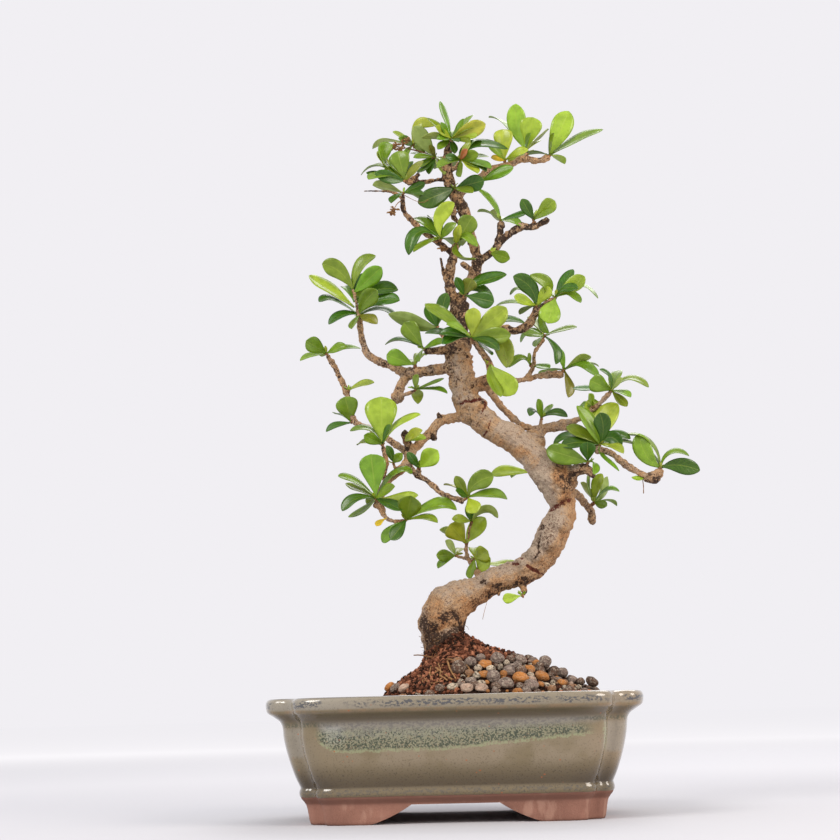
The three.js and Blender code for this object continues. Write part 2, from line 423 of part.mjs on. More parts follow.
// A closed skin through rings of as many points each, with a fan from its middle at each end.
function loft(rings) {
  const sides = rings[0].length;
  const points = rings.flat();
  const index = [];
  rings.slice(1).forEach((_, k) => {
    for (let i = 0; i < sides; i++) {
      const a = k * sides + i;
      const b = k * sides + ((i + 1) % sides);
      index.push(a, b, a + sides, b, b + sides, a + sides);
    }
  });
  [rings[0], rings[rings.length - 1]].forEach((ring, end) => {
    const first = end * (rings.length - 1) * sides;
    points.push(ring.reduce((sum, p) => sum.add(p), new THREE.Vector3()).divideScalar(sides));
    for (let i = 0; i < sides; i++) {
      const [a, b] = [first + i, first + ((i + 1) % sides)];
      index.push(...(end ? [a, b, points.length - 1] : [b, a, points.length - 1]));
    }
  });
  return new THREE.BufferGeometry().setFromPoints(points).setIndex(index);
}

// The pot's plan at one level: a rectangle whose four corners step in, all corners rounded.
function potPlan(z, inset, notch, radius, roundPoints = [0, 0.5, 1]) {
  const a = POT_HALF_LENGTH - inset;
  const b = POT_HALF_DEPTH - inset;
  const groove = radius * 0.45;
  const arcs = [
    [a - notch - radius, b - radius, radius, Math.PI / 2, 0, roundPoints],
    [a - notch + groove, b - notch + groove, groove, Math.PI, Math.PI * 1.5, [0, 0.5, 1]],
    [a - radius, b - notch - radius, radius, Math.PI / 2, 0, roundPoints],
  ];
  const quarter = arcs.flatMap(([cx, cy, r, from, to, stops]) =>
    stops.map((t) => {
      const angle = from + (to - from) * t;
      return new THREE.Vector2(cx + r * Math.cos(angle), cy + r * Math.sin(angle));
    }),
  );
  const turned = [...quarter].reverse();
  return [
    ...quarter.map((p) => new THREE.Vector3(p.x, p.y, z)),
    ...turned.map((p) => new THREE.Vector3(p.x, -p.y, z)),
    ...quarter.map((p) => new THREE.Vector3(-p.x, -p.y, z)),
    ...turned.map((p) => new THREE.Vector3(-p.x, p.y, z)),
  ];
}

// A prism under the pot that leaves a foot at each end, along Y or, turned, along X.
function footArch({ bottom, top }, length, turned) {
  const shape = new THREE.Shape();
  shape.moveTo(-bottom, -1);
  shape.lineTo(bottom, -1);
  shape.lineTo(bottom, 0);
  shape.quadraticCurveTo(top + 6, 1, top, ARCH_HEIGHT);
  shape.lineTo(-top, ARCH_HEIGHT);
  shape.quadraticCurveTo(-top - 6, 1, -bottom, 0);
  const options = { depth: 2 * length, bevelEnabled: false, curveSegments: 4 };
  const geometry = new THREE.ExtrudeGeometry(shape, options);
  geometry.translate(0, 0, -length);
  geometry.rotateX(Math.PI / 2);
  if (turned) geometry.rotateZ(Math.PI / 2);
  return solidFrom(geometry);
}

function potSolid() {
  const outside = solidFrom(loft(POT_OUTSIDE.map((level) => potPlan(...level))));
  const inside = solidFrom(loft(POT_INSIDE.map((level) => potPlan(...level))));
  const underside = solidFrom(
    loft([-1, FLOOR_UNDERSIDE].map((z) => potPlan(z, FOOT_RING_INSET, 8, 5))),
  );
  const drains = [-DRAIN_HOLE_X, DRAIN_HOLE_X].map((x) => {
    const drain = new THREE.CylinderGeometry(DRAIN_HOLE_RADIUS, DRAIN_HOLE_RADIUS, POT_HEIGHT, 16);
    return solidFrom(drain.rotateX(Math.PI / 2).translate(x, 0, 0));
  });
  const arches = [footArch(FRONT_ARCH, POT_HALF_DEPTH, false), footArch(SIDE_ARCH, POT_HALF_LENGTH, true)];
  return [inside, underside, ...drains, ...arches].reduce((pot, cut) => pot.subtract(cut), outside);
}

// The square of plastic mesh over a drainage hole.
function drainMeshSolid(x) {
  const { side, thickness, bar, holes } = DRAIN_MESH;
  const hole = (side - bar) / holes - bar;
  let mesh = solidFrom(new THREE.BoxGeometry(side, side, thickness));
  for (let i = 0; i < holes * holes; i++) {
    const [u, v] = [i % holes, Math.floor(i / holes)].map((k) => (k + 0.5 - holes / 2) * (hole + bar));
    mesh = mesh.subtract(solidFrom(new THREE.BoxGeometry(hole, hole, 2 * thickness).translate(u, v, 0)));
  }
  return mesh.translate([x, 0, FLOOR_TOP + GAP + thickness / 2]);
}

// How far a place is from the mound's top, 0 there and 1 at its foot.
function moundDistance(x, y) {
  const u = (x - MOUND.x) / (x < MOUND.x ? MOUND.left : MOUND.right);
  const v = (y - MOUND.y) / (y < MOUND.y ? MOUND.front : MOUND.back);
  return Math.hypot(u, v);
}

function soilHeight(x, y) {
  const d = Math.min(moundDistance(x, y), 1);
  const rise = 1 - d + MOUND.bulge * Math.sin(Math.PI * d);
  return SOIL_EDGE + (MOUND.peak - SOIL_EDGE) * rise;
}

// The pot's inner outline at a height, less a gap, with its straight panels in parts.
function innerOutline(z) {
  const above = POT_INSIDE.findIndex((level) => level[0] > z);
  const [low, high] = [POT_INSIDE[above - 1], POT_INSIDE[above]];
  const t = (z - low[0]) / (high[0] - low[0]);
  const [inset, notch] = [1, 2].map((i) => low[i] + (high[i] - low[i]) * t);
  const plan = potPlan(z, inset + GAP + 0.1, notch, 6, [0, 1]);
  const quarter = plan.length / 4;
  return plan.flatMap((p, i) => {
    if ((i + 1) % quarter) return [p];
    const parts = PANEL_PARTS[(i + 1) / quarter - 1];
    const next = plan[(i + 1) % plan.length];
    return Array.from({ length: parts }, (_, k) => p.clone().lerp(next, k / parts));
  });
}

// One ring of the mound's surface: the pot's outline drawn in towards the mound's top.
function moundRing(s, lift) {
  return innerOutline(SOIL_EDGE - 2).map((p) => {
    const x = MOUND.x + (p.x - MOUND.x) * s;
    const y = MOUND.y + (p.y - MOUND.y) * s;
    return new THREE.Vector3(x, y, soilHeight(x, y) + lift);
  });
}

// The filling of the pot, closed by the mound's surface.
function soilSolid() {
  const sides = [SOIL_BOTTOM, 58].map(innerOutline);
  return solidFrom(loft([...sides, ...SOIL_RINGS.map((s) => moundRing(s, 0))]));
}

// A thin bed over the front and right of the mound, with pebbles sunk in it.
function dressingSolid() {
  const { points, rings, thickness } = DRESSING;
  const skin = (lift) => rings.map((s) => moundRing(s, lift).slice(0, points));
  const outline = [...skin(thickness), ...skin(GAP).reverse()];
  const sections = outline[0].map((_, i) => outline.map((run) => run[i]));
  return joined([solidFrom(loft(sections.reverse())), ...pebbleSolids()]);
}

// Pebbles row by row down the mound, each lying in its slope.
function pebbleSolids() {
  const { from, to, inner, outer, rows, pitch, radii, height, sink } = PEBBLES;
  const pebbles = [];
  for (let row = 0; row < rows; row++) {
    const d = inner + ((outer - inner) * row) / (rows - 1);
    const count = Math.round(((to - from) * d * MOUND.front) / pitch);
    for (let i = 0; i < count; i++) {
      const k = pebbles.length + 1;
      const bearing = from + ((to - from) * (i + 0.2 + 0.6 * share(k, GOLDEN))) / count;
      const radius = radii[0] + (radii[1] - radii[0]) * share(k, PLASTIC);
      const place = onMound(bearing, d);
      const slope = onMound(bearing, d + 0.02).sub(place);
      const level = onMound(bearing + 0.02, d).sub(place);
      const normal = slope.cross(level).normalize();
      const pebble = new THREE.IcosahedronGeometry(1, 0).scale(radius * 1.1, radius * 0.95, height);
      pebble.rotateZ(Math.PI * share(k, THIRD));
      pebble.applyQuaternion(new THREE.Quaternion().setFromUnitVectors(new THREE.Vector3(0, 0, 1), normal));
      place.addScaledVector(normal, DRESSING.thickness + height - sink);
      pebbles.push(solidFrom(pebble.translate(...place)));
    }
  }
  return pebbles;
}

// The place on the mound at a bearing and a distance from its top.
function onMound(bearing, d) {
  const [c, s] = [Math.cos(bearing), Math.sin(bearing)];
  const x = MOUND.x + d * c * (c < 0 ? MOUND.left : MOUND.right);
  const y = MOUND.y + d * s * (s < 0 ? MOUND.front : MOUND.back);
  return new THREE.Vector3(x, y, soilHeight(x, y));
}

// A limb through its points, each ring square to the run, with room round it and at its ends if asked.
function limbSolid(rows, sides, room) {
  const places = rows.map(([x, z, y]) => sight(x, z, y));
  const curve = new THREE.CatmullRomCurve3(places, false, "centripetal");
  places[0].addScaledVector(curve.getTangent(0), -room);
  places[places.length - 1].addScaledVector(curve.getTangent(1), room);
  const frames = curve.computeFrenetFrames(places.length - 1, false);
  const rings = places.map((place, k) => {
    const radius = rows[k][3] + room;
    return Array.from({ length: sides }, (_, i) => {
      const angle = (2 * Math.PI * i) / sides;
      return place
        .clone()
        .addScaledVector(frames.normals[k], radius * Math.cos(angle))
        .addScaledVector(frames.binormals[k], radius * Math.sin(angle));
    });
  });
  return solidFrom(loft(rings));
}

function limbSides(rows) {
  return Math.max(...rows.map((row) => row[3])) > TWIG_RADIUS ? BRANCH_SIDES : TWIG_SIDES;
}

function woodPieces(room) {
  return [
    limbSolid(TRUNK, TRUNK_SIDES, room),
    ...Object.values(LIMBS).map((rows) => limbSolid(rows, limbSides(rows), room)),
  ];
}

// The leaf's rib as a curve, its face direction and its width.
function leafForm(hub, [tipX, tipZ, near, seen, , viaX, viaZ]) {
  const tip = sight(tipX, tipZ, hub.y - near);
  const along = tip.clone().sub(hub);
  const length = along.length();
  along.normalize();
  const view = EYE.clone().sub(hub);
  view.addScaledVector(along, -view.dot(along)).normalize();
  const side = new THREE.Vector3().crossVectors(along, view);
  if (Math.abs(side.z) > 0.15 ? side.z < 0 : side.x * along.x > 0) side.negate();
  const span = THREE.MathUtils.clamp(LEAF.widthShare * length, LEAF.narrowest, LEAF.broadest);
  const width = Math.max(span, Math.abs(seen) * 1.04);
  const facing = Math.abs(seen) / width;
  const up = view.multiplyScalar(Math.sign(seen) * facing);
  up.addScaledVector(side, Math.sqrt(1 - facing * facing));
  const middle = hub.clone().add(tip).multiplyScalar(0.5);
  const bend =
    viaX === undefined
      ? middle.clone().addScaledVector(up, LEAF.arch * length)
      : sight(viaX, viaZ, hub.y - near / 2).multiplyScalar(2).sub(middle);
  const rib = new THREE.QuadraticBezierCurve3(hub, bend, tip);
  return { rib, up, width, length };
}

// One of the leaves on the far side of a spray.
function backLeafForm(hub, k) {
  const turn = (share(k, GOLDEN) - 0.5) * BACK_LEAF.swing;
  const lift = BACK_LEAF.lowest + (BACK_LEAF.highest - BACK_LEAF.lowest) * share(k, PLASTIC);
  const length = BACK_LEAF.shortest + (BACK_LEAF.longest - BACK_LEAF.shortest) * share(k, THIRD);
  const along = new THREE.Vector3(Math.sin(turn), Math.cos(turn), Math.tan(lift)).normalize();
  const up = new THREE.Vector3(0, 0, 1).addScaledVector(along, -along.z).normalize();
  const tip = hub.clone().addScaledVector(along, length);
  const bend = hub.clone().add(tip).multiplyScalar(0.5).addScaledVector(up, LEAF.arch * length);
  const rib = new THREE.QuadraticBezierCurve3(hub, bend, tip);
  return { rib, up, width: LEAF.widthShare * length, length };
}

// A leaf from the middle of its shoot out: spoon-shaped, of diamond section, folded a little along its rib,
// with a round end.
function leafSolid({ rib, up, width, length }, room) {
  const reach = (w) => (w * width) / 2 + Math.sign(w) * room;
  const at = (t, across, lift) => {
    const tangent = rib.getTangent(t);
    const side = new THREE.Vector3().crossVectors(tangent, up).normalize();
    const face = new THREE.Vector3().crossVectors(side, tangent);
    return rib
      .getPoint(t)
      .addScaledVector(side, across)
      .addScaledVector(face, lift + LEAF.fold * Math.abs(across));
  };
  const section = ([t, w, thick]) => [
    at(t, reach(-w), 0), at(t, 0, thick + room), at(t, reach(w), 0), at(t, 0, -thick - room),
  ];
  const end = width > LEAF.broadFrom ? LEAF.broadEnd : LEAF.slimEnd;
  const points = [
    rib.getPoint(0).addScaledVector(rib.getTangent(0), -8 * room),
    ...LEAF.stations.flatMap(section),
    ...end.map(([t, w]) => at(t + room / length, reach(w), 0)),
  ];
  const index = [];
  for (let i = 0; i < 4; i++) {
    const [a, b] = [1 + i, 1 + ((i + 1) % 4)];
    index.push(0, a, b);
    index.push(...(i % 2 ? [a, a + 4, b, b, a + 4, b + 4] : [a, b + 4, b, a, a + 4, b + 4]));
  }
  const [left, top, right, bottom] = [5, 6, 7, 8];
  const rim = [left, ...end.map((_, i) => bottom + 1 + i), right];
  rim.slice(1).forEach((point, i) => index.push(top, rim[i], point, bottom, point, rim[i]));
  return solidFrom(new THREE.BufferGeometry().setFromPoints(points).setIndex(index));
}

// A spray's own solids, and the room that other pieces keep from them.
function spraySolids({ hub, back, leaves }, order) {
  const centre = sight(...hub);
  const forms = leaves.map((leaf) => leafForm(centre, leaf));
  for (let i = 0; i < back; i++) forms.push(backLeafForm(centre, 3 * order + i + 1));
  const shoot = (radius) => solidFrom(new THREE.OctahedronGeometry(radius, 0).translate(...centre));
  return {
    body: joined([shoot(HUB_RADIUS), ...forms.map((form) => leafSolid(form, 0))]),
    room: [shoot(HUB_RADIUS + LEAF_ROOM), ...forms.map((form) => leafSolid(form, LEAF_ROOM))],
  };
}

// What is left of a solid beside others, each cut away only where it comes into it.
function clearOf(solid, others) {
  return others.reduce((rest, other) => (touches(rest, other) ? rest.subtract(other) : rest), solid);
}

function touches(a, b) {
  const [p, q] = [a.boundingBox(), b.boundingBox()];
  return [0, 1, 2].every((i) => p.min[i] < q.max[i] && q.min[i] < p.max[i]);
}

// The mean of a spray's leaf tones.
function sprayColour(leaves) {
  const mean = new THREE.Color(0, 0, 0);
  leaves.forEach((leaf) => mean.add(new THREE.Color(TONES[leaf[4]])));
  return mean.multiplyScalar(1 / leaves.length);
}

const bonsai = new THREE.Group();
const woodRoom = woodPieces(GAP);
bonsai.add(meshOf("pot", potSolid(), CLAY_COLOUR, 0.25));
bonsai.add(meshOf("drain_mesh_left", drainMeshSolid(-DRAIN_HOLE_X), MESH_COLOUR, 0.6));
bonsai.add(meshOf("drain_mesh_right", drainMeshSolid(DRAIN_HOLE_X), MESH_COLOUR, 0.6));
bonsai.add(meshOf("wood", joined(woodPieces(0)), WOOD_COLOUR, 0.85));
bonsai.add(meshOf("soil", clearOf(soilSolid(), woodRoom), SOIL_COLOUR, 0.95));
bonsai.add(meshOf("pebbles", clearOf(dressingSolid(), woodRoom), PEBBLE_COLOUR, 0.8));

const kept = [...woodRoom];
Object.entries(SPRAYS).forEach(([name, spray], order) => {
  const { body, room } = spraySolids(spray, order);
  const cut = clearOf(body, kept).simplify(SHORTEST_EDGE);
  bonsai.add(meshOf("leaves_" + name, cut, sprayColour(spray.leaves), 0.35));
  kept.push(...room);
});

// The origin is under the middle of the whole plant and pot, on the surface they stand on.
const box = new THREE.Box3().setFromObject(bonsai);
const middle = box.getCenter(new THREE.Vector3());
bonsai.position.set(-middle.x, -middle.y, -box.min.z);

export default bonsai;
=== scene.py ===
import logging
import math
from collections.abc import Sequence
from dataclasses import dataclass, field
from enum import Enum
from random import Random

import bmesh
import bpy
import numpy as np
from bmesh.types import BMFace, BMVert, BMesh
from bpy.types import ColorRamp, ID, Material, Mesh, NodeSocket, Object
from mathutils import Matrix, Vector, kdtree, noise
from mathutils.bvhtree import BVHTree


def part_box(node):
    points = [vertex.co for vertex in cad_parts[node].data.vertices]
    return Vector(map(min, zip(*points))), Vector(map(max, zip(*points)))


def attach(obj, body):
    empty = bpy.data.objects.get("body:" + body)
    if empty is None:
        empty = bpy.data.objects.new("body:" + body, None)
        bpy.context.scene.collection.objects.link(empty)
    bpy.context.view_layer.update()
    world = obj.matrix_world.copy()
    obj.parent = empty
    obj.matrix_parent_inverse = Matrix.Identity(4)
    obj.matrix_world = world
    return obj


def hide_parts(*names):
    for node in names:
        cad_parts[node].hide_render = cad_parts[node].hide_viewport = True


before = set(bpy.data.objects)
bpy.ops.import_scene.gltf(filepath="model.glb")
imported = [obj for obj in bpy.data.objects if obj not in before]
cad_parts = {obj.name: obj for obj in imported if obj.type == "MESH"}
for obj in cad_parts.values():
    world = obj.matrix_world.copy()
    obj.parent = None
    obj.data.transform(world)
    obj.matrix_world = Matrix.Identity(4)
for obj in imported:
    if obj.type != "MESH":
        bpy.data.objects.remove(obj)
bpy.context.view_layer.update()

# Looks of a fukien tea bonsai in a glazed tray pot. Until a piece is set down in the frame, lengths are
# in millimetres about the pot's centre, with the pot's front towards -Y. The tree was read from the
# front: a table's point gives the x and z at which its line of sight meets the plane y = 0, and its
# depth y, and EYE is where it was seen from. rows_of reads the tables.

MM = 0.001
EYE = Vector((40, -1150, 70))
POT_X = sum(corner.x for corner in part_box("pot")) / 2
SEED = 20260
LOG = logging.getLogger("bonsai")

Spot = tuple[float, float, float]
Row = tuple[float | str, ...]
Colour = tuple[float, float, float, float]

# The trunk and the limbs: each row has x, z, depth and radius.
TRUNK = """
    -6 64 3 19; -5 84 3 17; -5 100 2 15; -6.5 116 0 14.6; -9.5 129 -1 15; -6 139 -2 16; -2 145.5 -2 15.2;
    10.5 151.5 0 11.8; 17 154.3 1 10; 27.5 160.2 2 9.1; 39 164 4 9.1; 48.5 166.4 5 9.8; 56 170.8 6 9.9;
    62 176.6 6 10.3; 67 183.4 6 11; 70.5 191 6 11.5; 74 198 5 11; 77.5 204 5 9.9; 79 211 4 9.6; 77.5 219.5 3 10.9;
    75 228 2 12.6; 67.5 238 1 11.3; 55 253 0 10.1; 45 262 -1 10; 34.5 267.5 -2 9.4; 25 275 -3 9.6; 17 284 -3 11;
    13.5 292 -3 9.7; 10.5 308 -3 9.4; 8.8 320 -3 9.8; 9 330.5 -3 9.2
"""
LIMBS = {
    "root_left": "-10 108 -5 6; -24 97 -14 4.4; -40 82 -24 3",
    "root_front": "-8 106 -10 6; -6 97 -30 4.2; -2 84 -46 3",
    "root_back": "-4 106 8 6; 2 96 26 4.4; 8 82 44 3",
    "root_right": "2 104 2 6.5; 18 97 10 4.4; 38 82 14 3",
    "neck_stub": "14 300 -3 5; 27 303 -8 5.2; 34 306 -10 4.4",
    "bend_knob": "78 231 0 6; 86 235 -4 4.7; 92 238 -8 4.3; 97 237.5 -10 3.6; 101 234 -11 2.8",
    "bend_knob_spur": "94 236 -9 2.4; 97 240.5 -11 1.6",
    "under_stub": "49 161 5 3; 49 156 4 2.4; 50 152 2 1.9",
    "under_hook": "31 156 2 1.8; 32 150.5 0 1.1",
    "right_slender": "27 302 -4 3.1; 36.5 287 8 2.6; 43.5 279 12 2.5; 54 270 13 2.5; 66 267.5 11 2.6",
    "right_high": """65 267.5 11 2.6; 80 271.5 6 2.3; 90 272.8 3 2.1; 97 276 2 2; 103 280 0 2.2; 112.5 288.5 -2 1.9;
        115.5 291.5 -2 1.7""",
    "right_low": """65 267.5 11 2.7; 83 267.5 3 2.4; 90 265.5 0 2.4; 97.5 261 -3 2.4; 101.5 256 -6 2.5;
        106 251.5 -8 2.7; 113.5 249 -8 2.4; 126 239 -8 2.5; 140 230 -6 2.8""",
    "right_low_knob": "139 230 -6 3; 143.5 229.5 -6 4.2; 148 234 -6 2.8",
    "junction_spur": "65 267 12 2; 66 273 14 1.5",
    "left": """6 314 -3 5.5; -3 314 -2 4.2; -13 313 0 3.9; -29.5 312 8 4; -38 316.5 11 3.1; -51.5 322.5 15 2.8;
        -57 327.5 16 2.6; -60.5 337.5 17 2.5; -62.5 353 18 2.3""",
    "left_cut": "-29.5 311 8 3.8; -32 305 6 3.5; -35 299 3 3.4; -36.5 294.5 2 4",
    "left_cut_twig": "-35 296 2 1.6; -29 296.5 -4 1.5; -24.5 298.5 -8 1.3",
    "trunk_top_stub": "4 328 -4 3.6; -5 327.5 -4 3.1; -13.8 327.5 -4 2.8",
    "trunk_top_twig": "4 329 -6 2.2; -2 338 -7 1.7; -5 342.5 -7 1.4",
    "far_left": """-28 252 -13 2.8; -42 263 6 2.5; -55.5 272 20 2.3; -67 277.5 30 2.2; -73 299.5 36 2.2;
        -77.5 311 38 2.2; -83 321.5 40 2.1; -85.5 326 40 1.8""",
    "left_low": """14 279 -3 4.5; 4 278 -5 3.6; -4 276.5 -7 3.4; -16 265.5 -11 3.2; -27 253.5 -15 3.3;
        -30 247 -18 3.2; -37.5 239.5 -22 2.8; -46.5 232 -26 2.9; -52 217 -29 2.8""",
    "left_low_dead": "-28 255 -14 3; -30 262 -18 3; -31 267 -20 3",
    "left_low_blob": "-10 269 -9 2; -10.5 263.5 -12 2.4",
    "left_low_nub": "-6 275 -8 1.8; -7 280.5 -9 1.6",
    "left_low_riser": "-44 234 -25 2.3; -47.5 237.5 -24 2.1; -45.5 245 -23 2; -46 254 -22 1.9; -47.3 258 -22 1.6",
    "left_low_side": "-38 240 -22 1.5; -39.5 244.5 -26 1.3",
    "left_lowest": "-50 216 -29 2.6; -45.5 207 -32 1.7; -39 204.5 -35 1.6; -34 205 -36 1.5",
    "front_low": "-29 246 -18 2.2; -24 238 -23 2; -15.5 232.5 -25 1.9; -5.5 223.5 -26 1.9; 8 217.8 -26 2.1",
    "front_low_stub": "-23.5 237 -24 2.2; -22 240.5 -28 2.1",
    "front_shoot": "27 303 -8 3.6; 31.5 306 -16 3.2; 31.3 311 -24 2.9; 30 318 -30 2.6; 23 329 -36 2.3; 20 333.5 -37 2",
    "middle_left": """9 329 -3 6; 11 342 -4 4.7; 8 357 -4 4.2; 4 373 -4 3.8; 3.5 382 -4 3.5; 7 397 -4 3.3;
        8.5 404 -6 2.6""",
    "middle_dead": "11 345 -4 4.2; 13 353 -5 4.4; 13.5 359.5 -6 4",
    "middle_dead_spur": "13.5 358 -6 2; 14 365 -10 1.5",
    "middle_left_arm": """7 399 -4 2.5; 1 404.5 -6 2.2; -13 416 -9 2.2; -24 427.5 -12 2.1; -28.5 434 -14 2;
        -28.5 444 -15 1.6""",
    "left_dead_twig": "-28.5 443 -15 1.3; -37 448 -15 1.1; -57 450 -17 0.8",
    "middle_right": """8 356 -4 3.8; 13 368 -2 3.6; 20 380 0 3.7; 24.5 393 0 3.8; 21 409 -1 3.9; 18 418 -1 4.2;
        15 434 -2 4.4; 8 446 -2 4.2; 4.5 461 -2 4; 5.5 477 -2 3.2; 7.5 484.5 -2 2.3""",
    "middle_strand": "16 419 -2 2; 8 428 -6 2; 10 440 -3 2",
    "middle_spur": "5.2 463 -2 2.1; 11 464.5 -8 1.8; 13.8 467.8 -13 1.4",
    "middle_side_stub": "22 385 -1 2.5; 14 391 -6 2.1",
    "middle_left_spur": "2 377 -4 1.6; -1 387 -6 1.4; -1.9 396 -7 1.1",
    "upper_left": "4.5 457 -2 1.7; -5 455.5 -6 1.6; -15 454.8 -10 1.8; -24 455.5 -14 2.6",
    "upper_left_gnarl": "-22 456 -13 2.3; -17 460.5 -12 1.8",
    "crown_left": "5 470 -2 1.5; -3 471.5 5 1.3; -12 477 12 1.2; -19 481.8 16 1",
    "black": """24 391.5 0 3; 36.5 400.5 -6 2.7; 42 407 -10 2.8; 50 413.5 -14 2.7; 57 417.5 -17 2.8; 65 417 -19 2.5;
        75.5 421.5 -20 2.5""",
    "black_fork": "41 408.5 -10 2.8; 42 414 -9 2.9; 42.5 419.5 -8 2.7",
    "black_spur": "64 417 -19 1.8; 66 420 -21 1.4",
    "right_top": """9.5 440.5 -2 2.6; 28.5 456.5 2 2.4; 37 463 6 2.3; 50 465 10 2.3; 62 469.5 13 2.6;
        69.5 467.5 15 2.4; 77.5 468.8 17 2.6""",
    "right_top_spur": "62.5 469 13 1.7; 63 473 11 1.3",
    "centre": """14 333 -3 4; 25 341 -8 3.2; 31 339.5 -9 3.1; 44.5 341.5 -10 3; 50.5 340 -11 2.9; 61 345.5 -12 2.9;
        65.3 355 -12 2.4""",
    "centre_fork": "64.5 351 -12 2.4; 72.5 359 -15 2.3; 78 361.5 -16.5 2",
    "rear": "30 302 -6 3; 38 303 14 2.6; 45 303.5 28 2.3; 56 304 46 2; 63.5 305.5 52 2.1; 73 307 56 2.7; 81 306.5 58 3",
    "rear_riser": "56 304 46 1.7; 62 313 48 1.7; 63.5 323.5 47 1.6; 69.8 332.5 45 1.4",
    "rear_low_right": "80 222 4 3.4; 88 221 24 3; 92.5 216 38 2.8; 97 210.5 46 2.7; 99.5 205.5 48 2.7; 99.5 200 49 2.8",
    "rear_low_left": "20 158 6 3; 19 163 20 2.6; 16 169 36 2.2; 12 175.5 46 1.9; 10 183 53 1.5; 13.2 199.5 51 1.2",
    "rear_low_twig": "12 176 47 1.4; 4.2 178.6 55 1.2",
    "far_centre": "66 232 6 2.4; 62 234 36 1.7; 60.2 236 67 1.3",
    "left_tip": "-62.3 351 18 2.2; -64 364 18 1.5; -66.5 375 18 1.2",
}
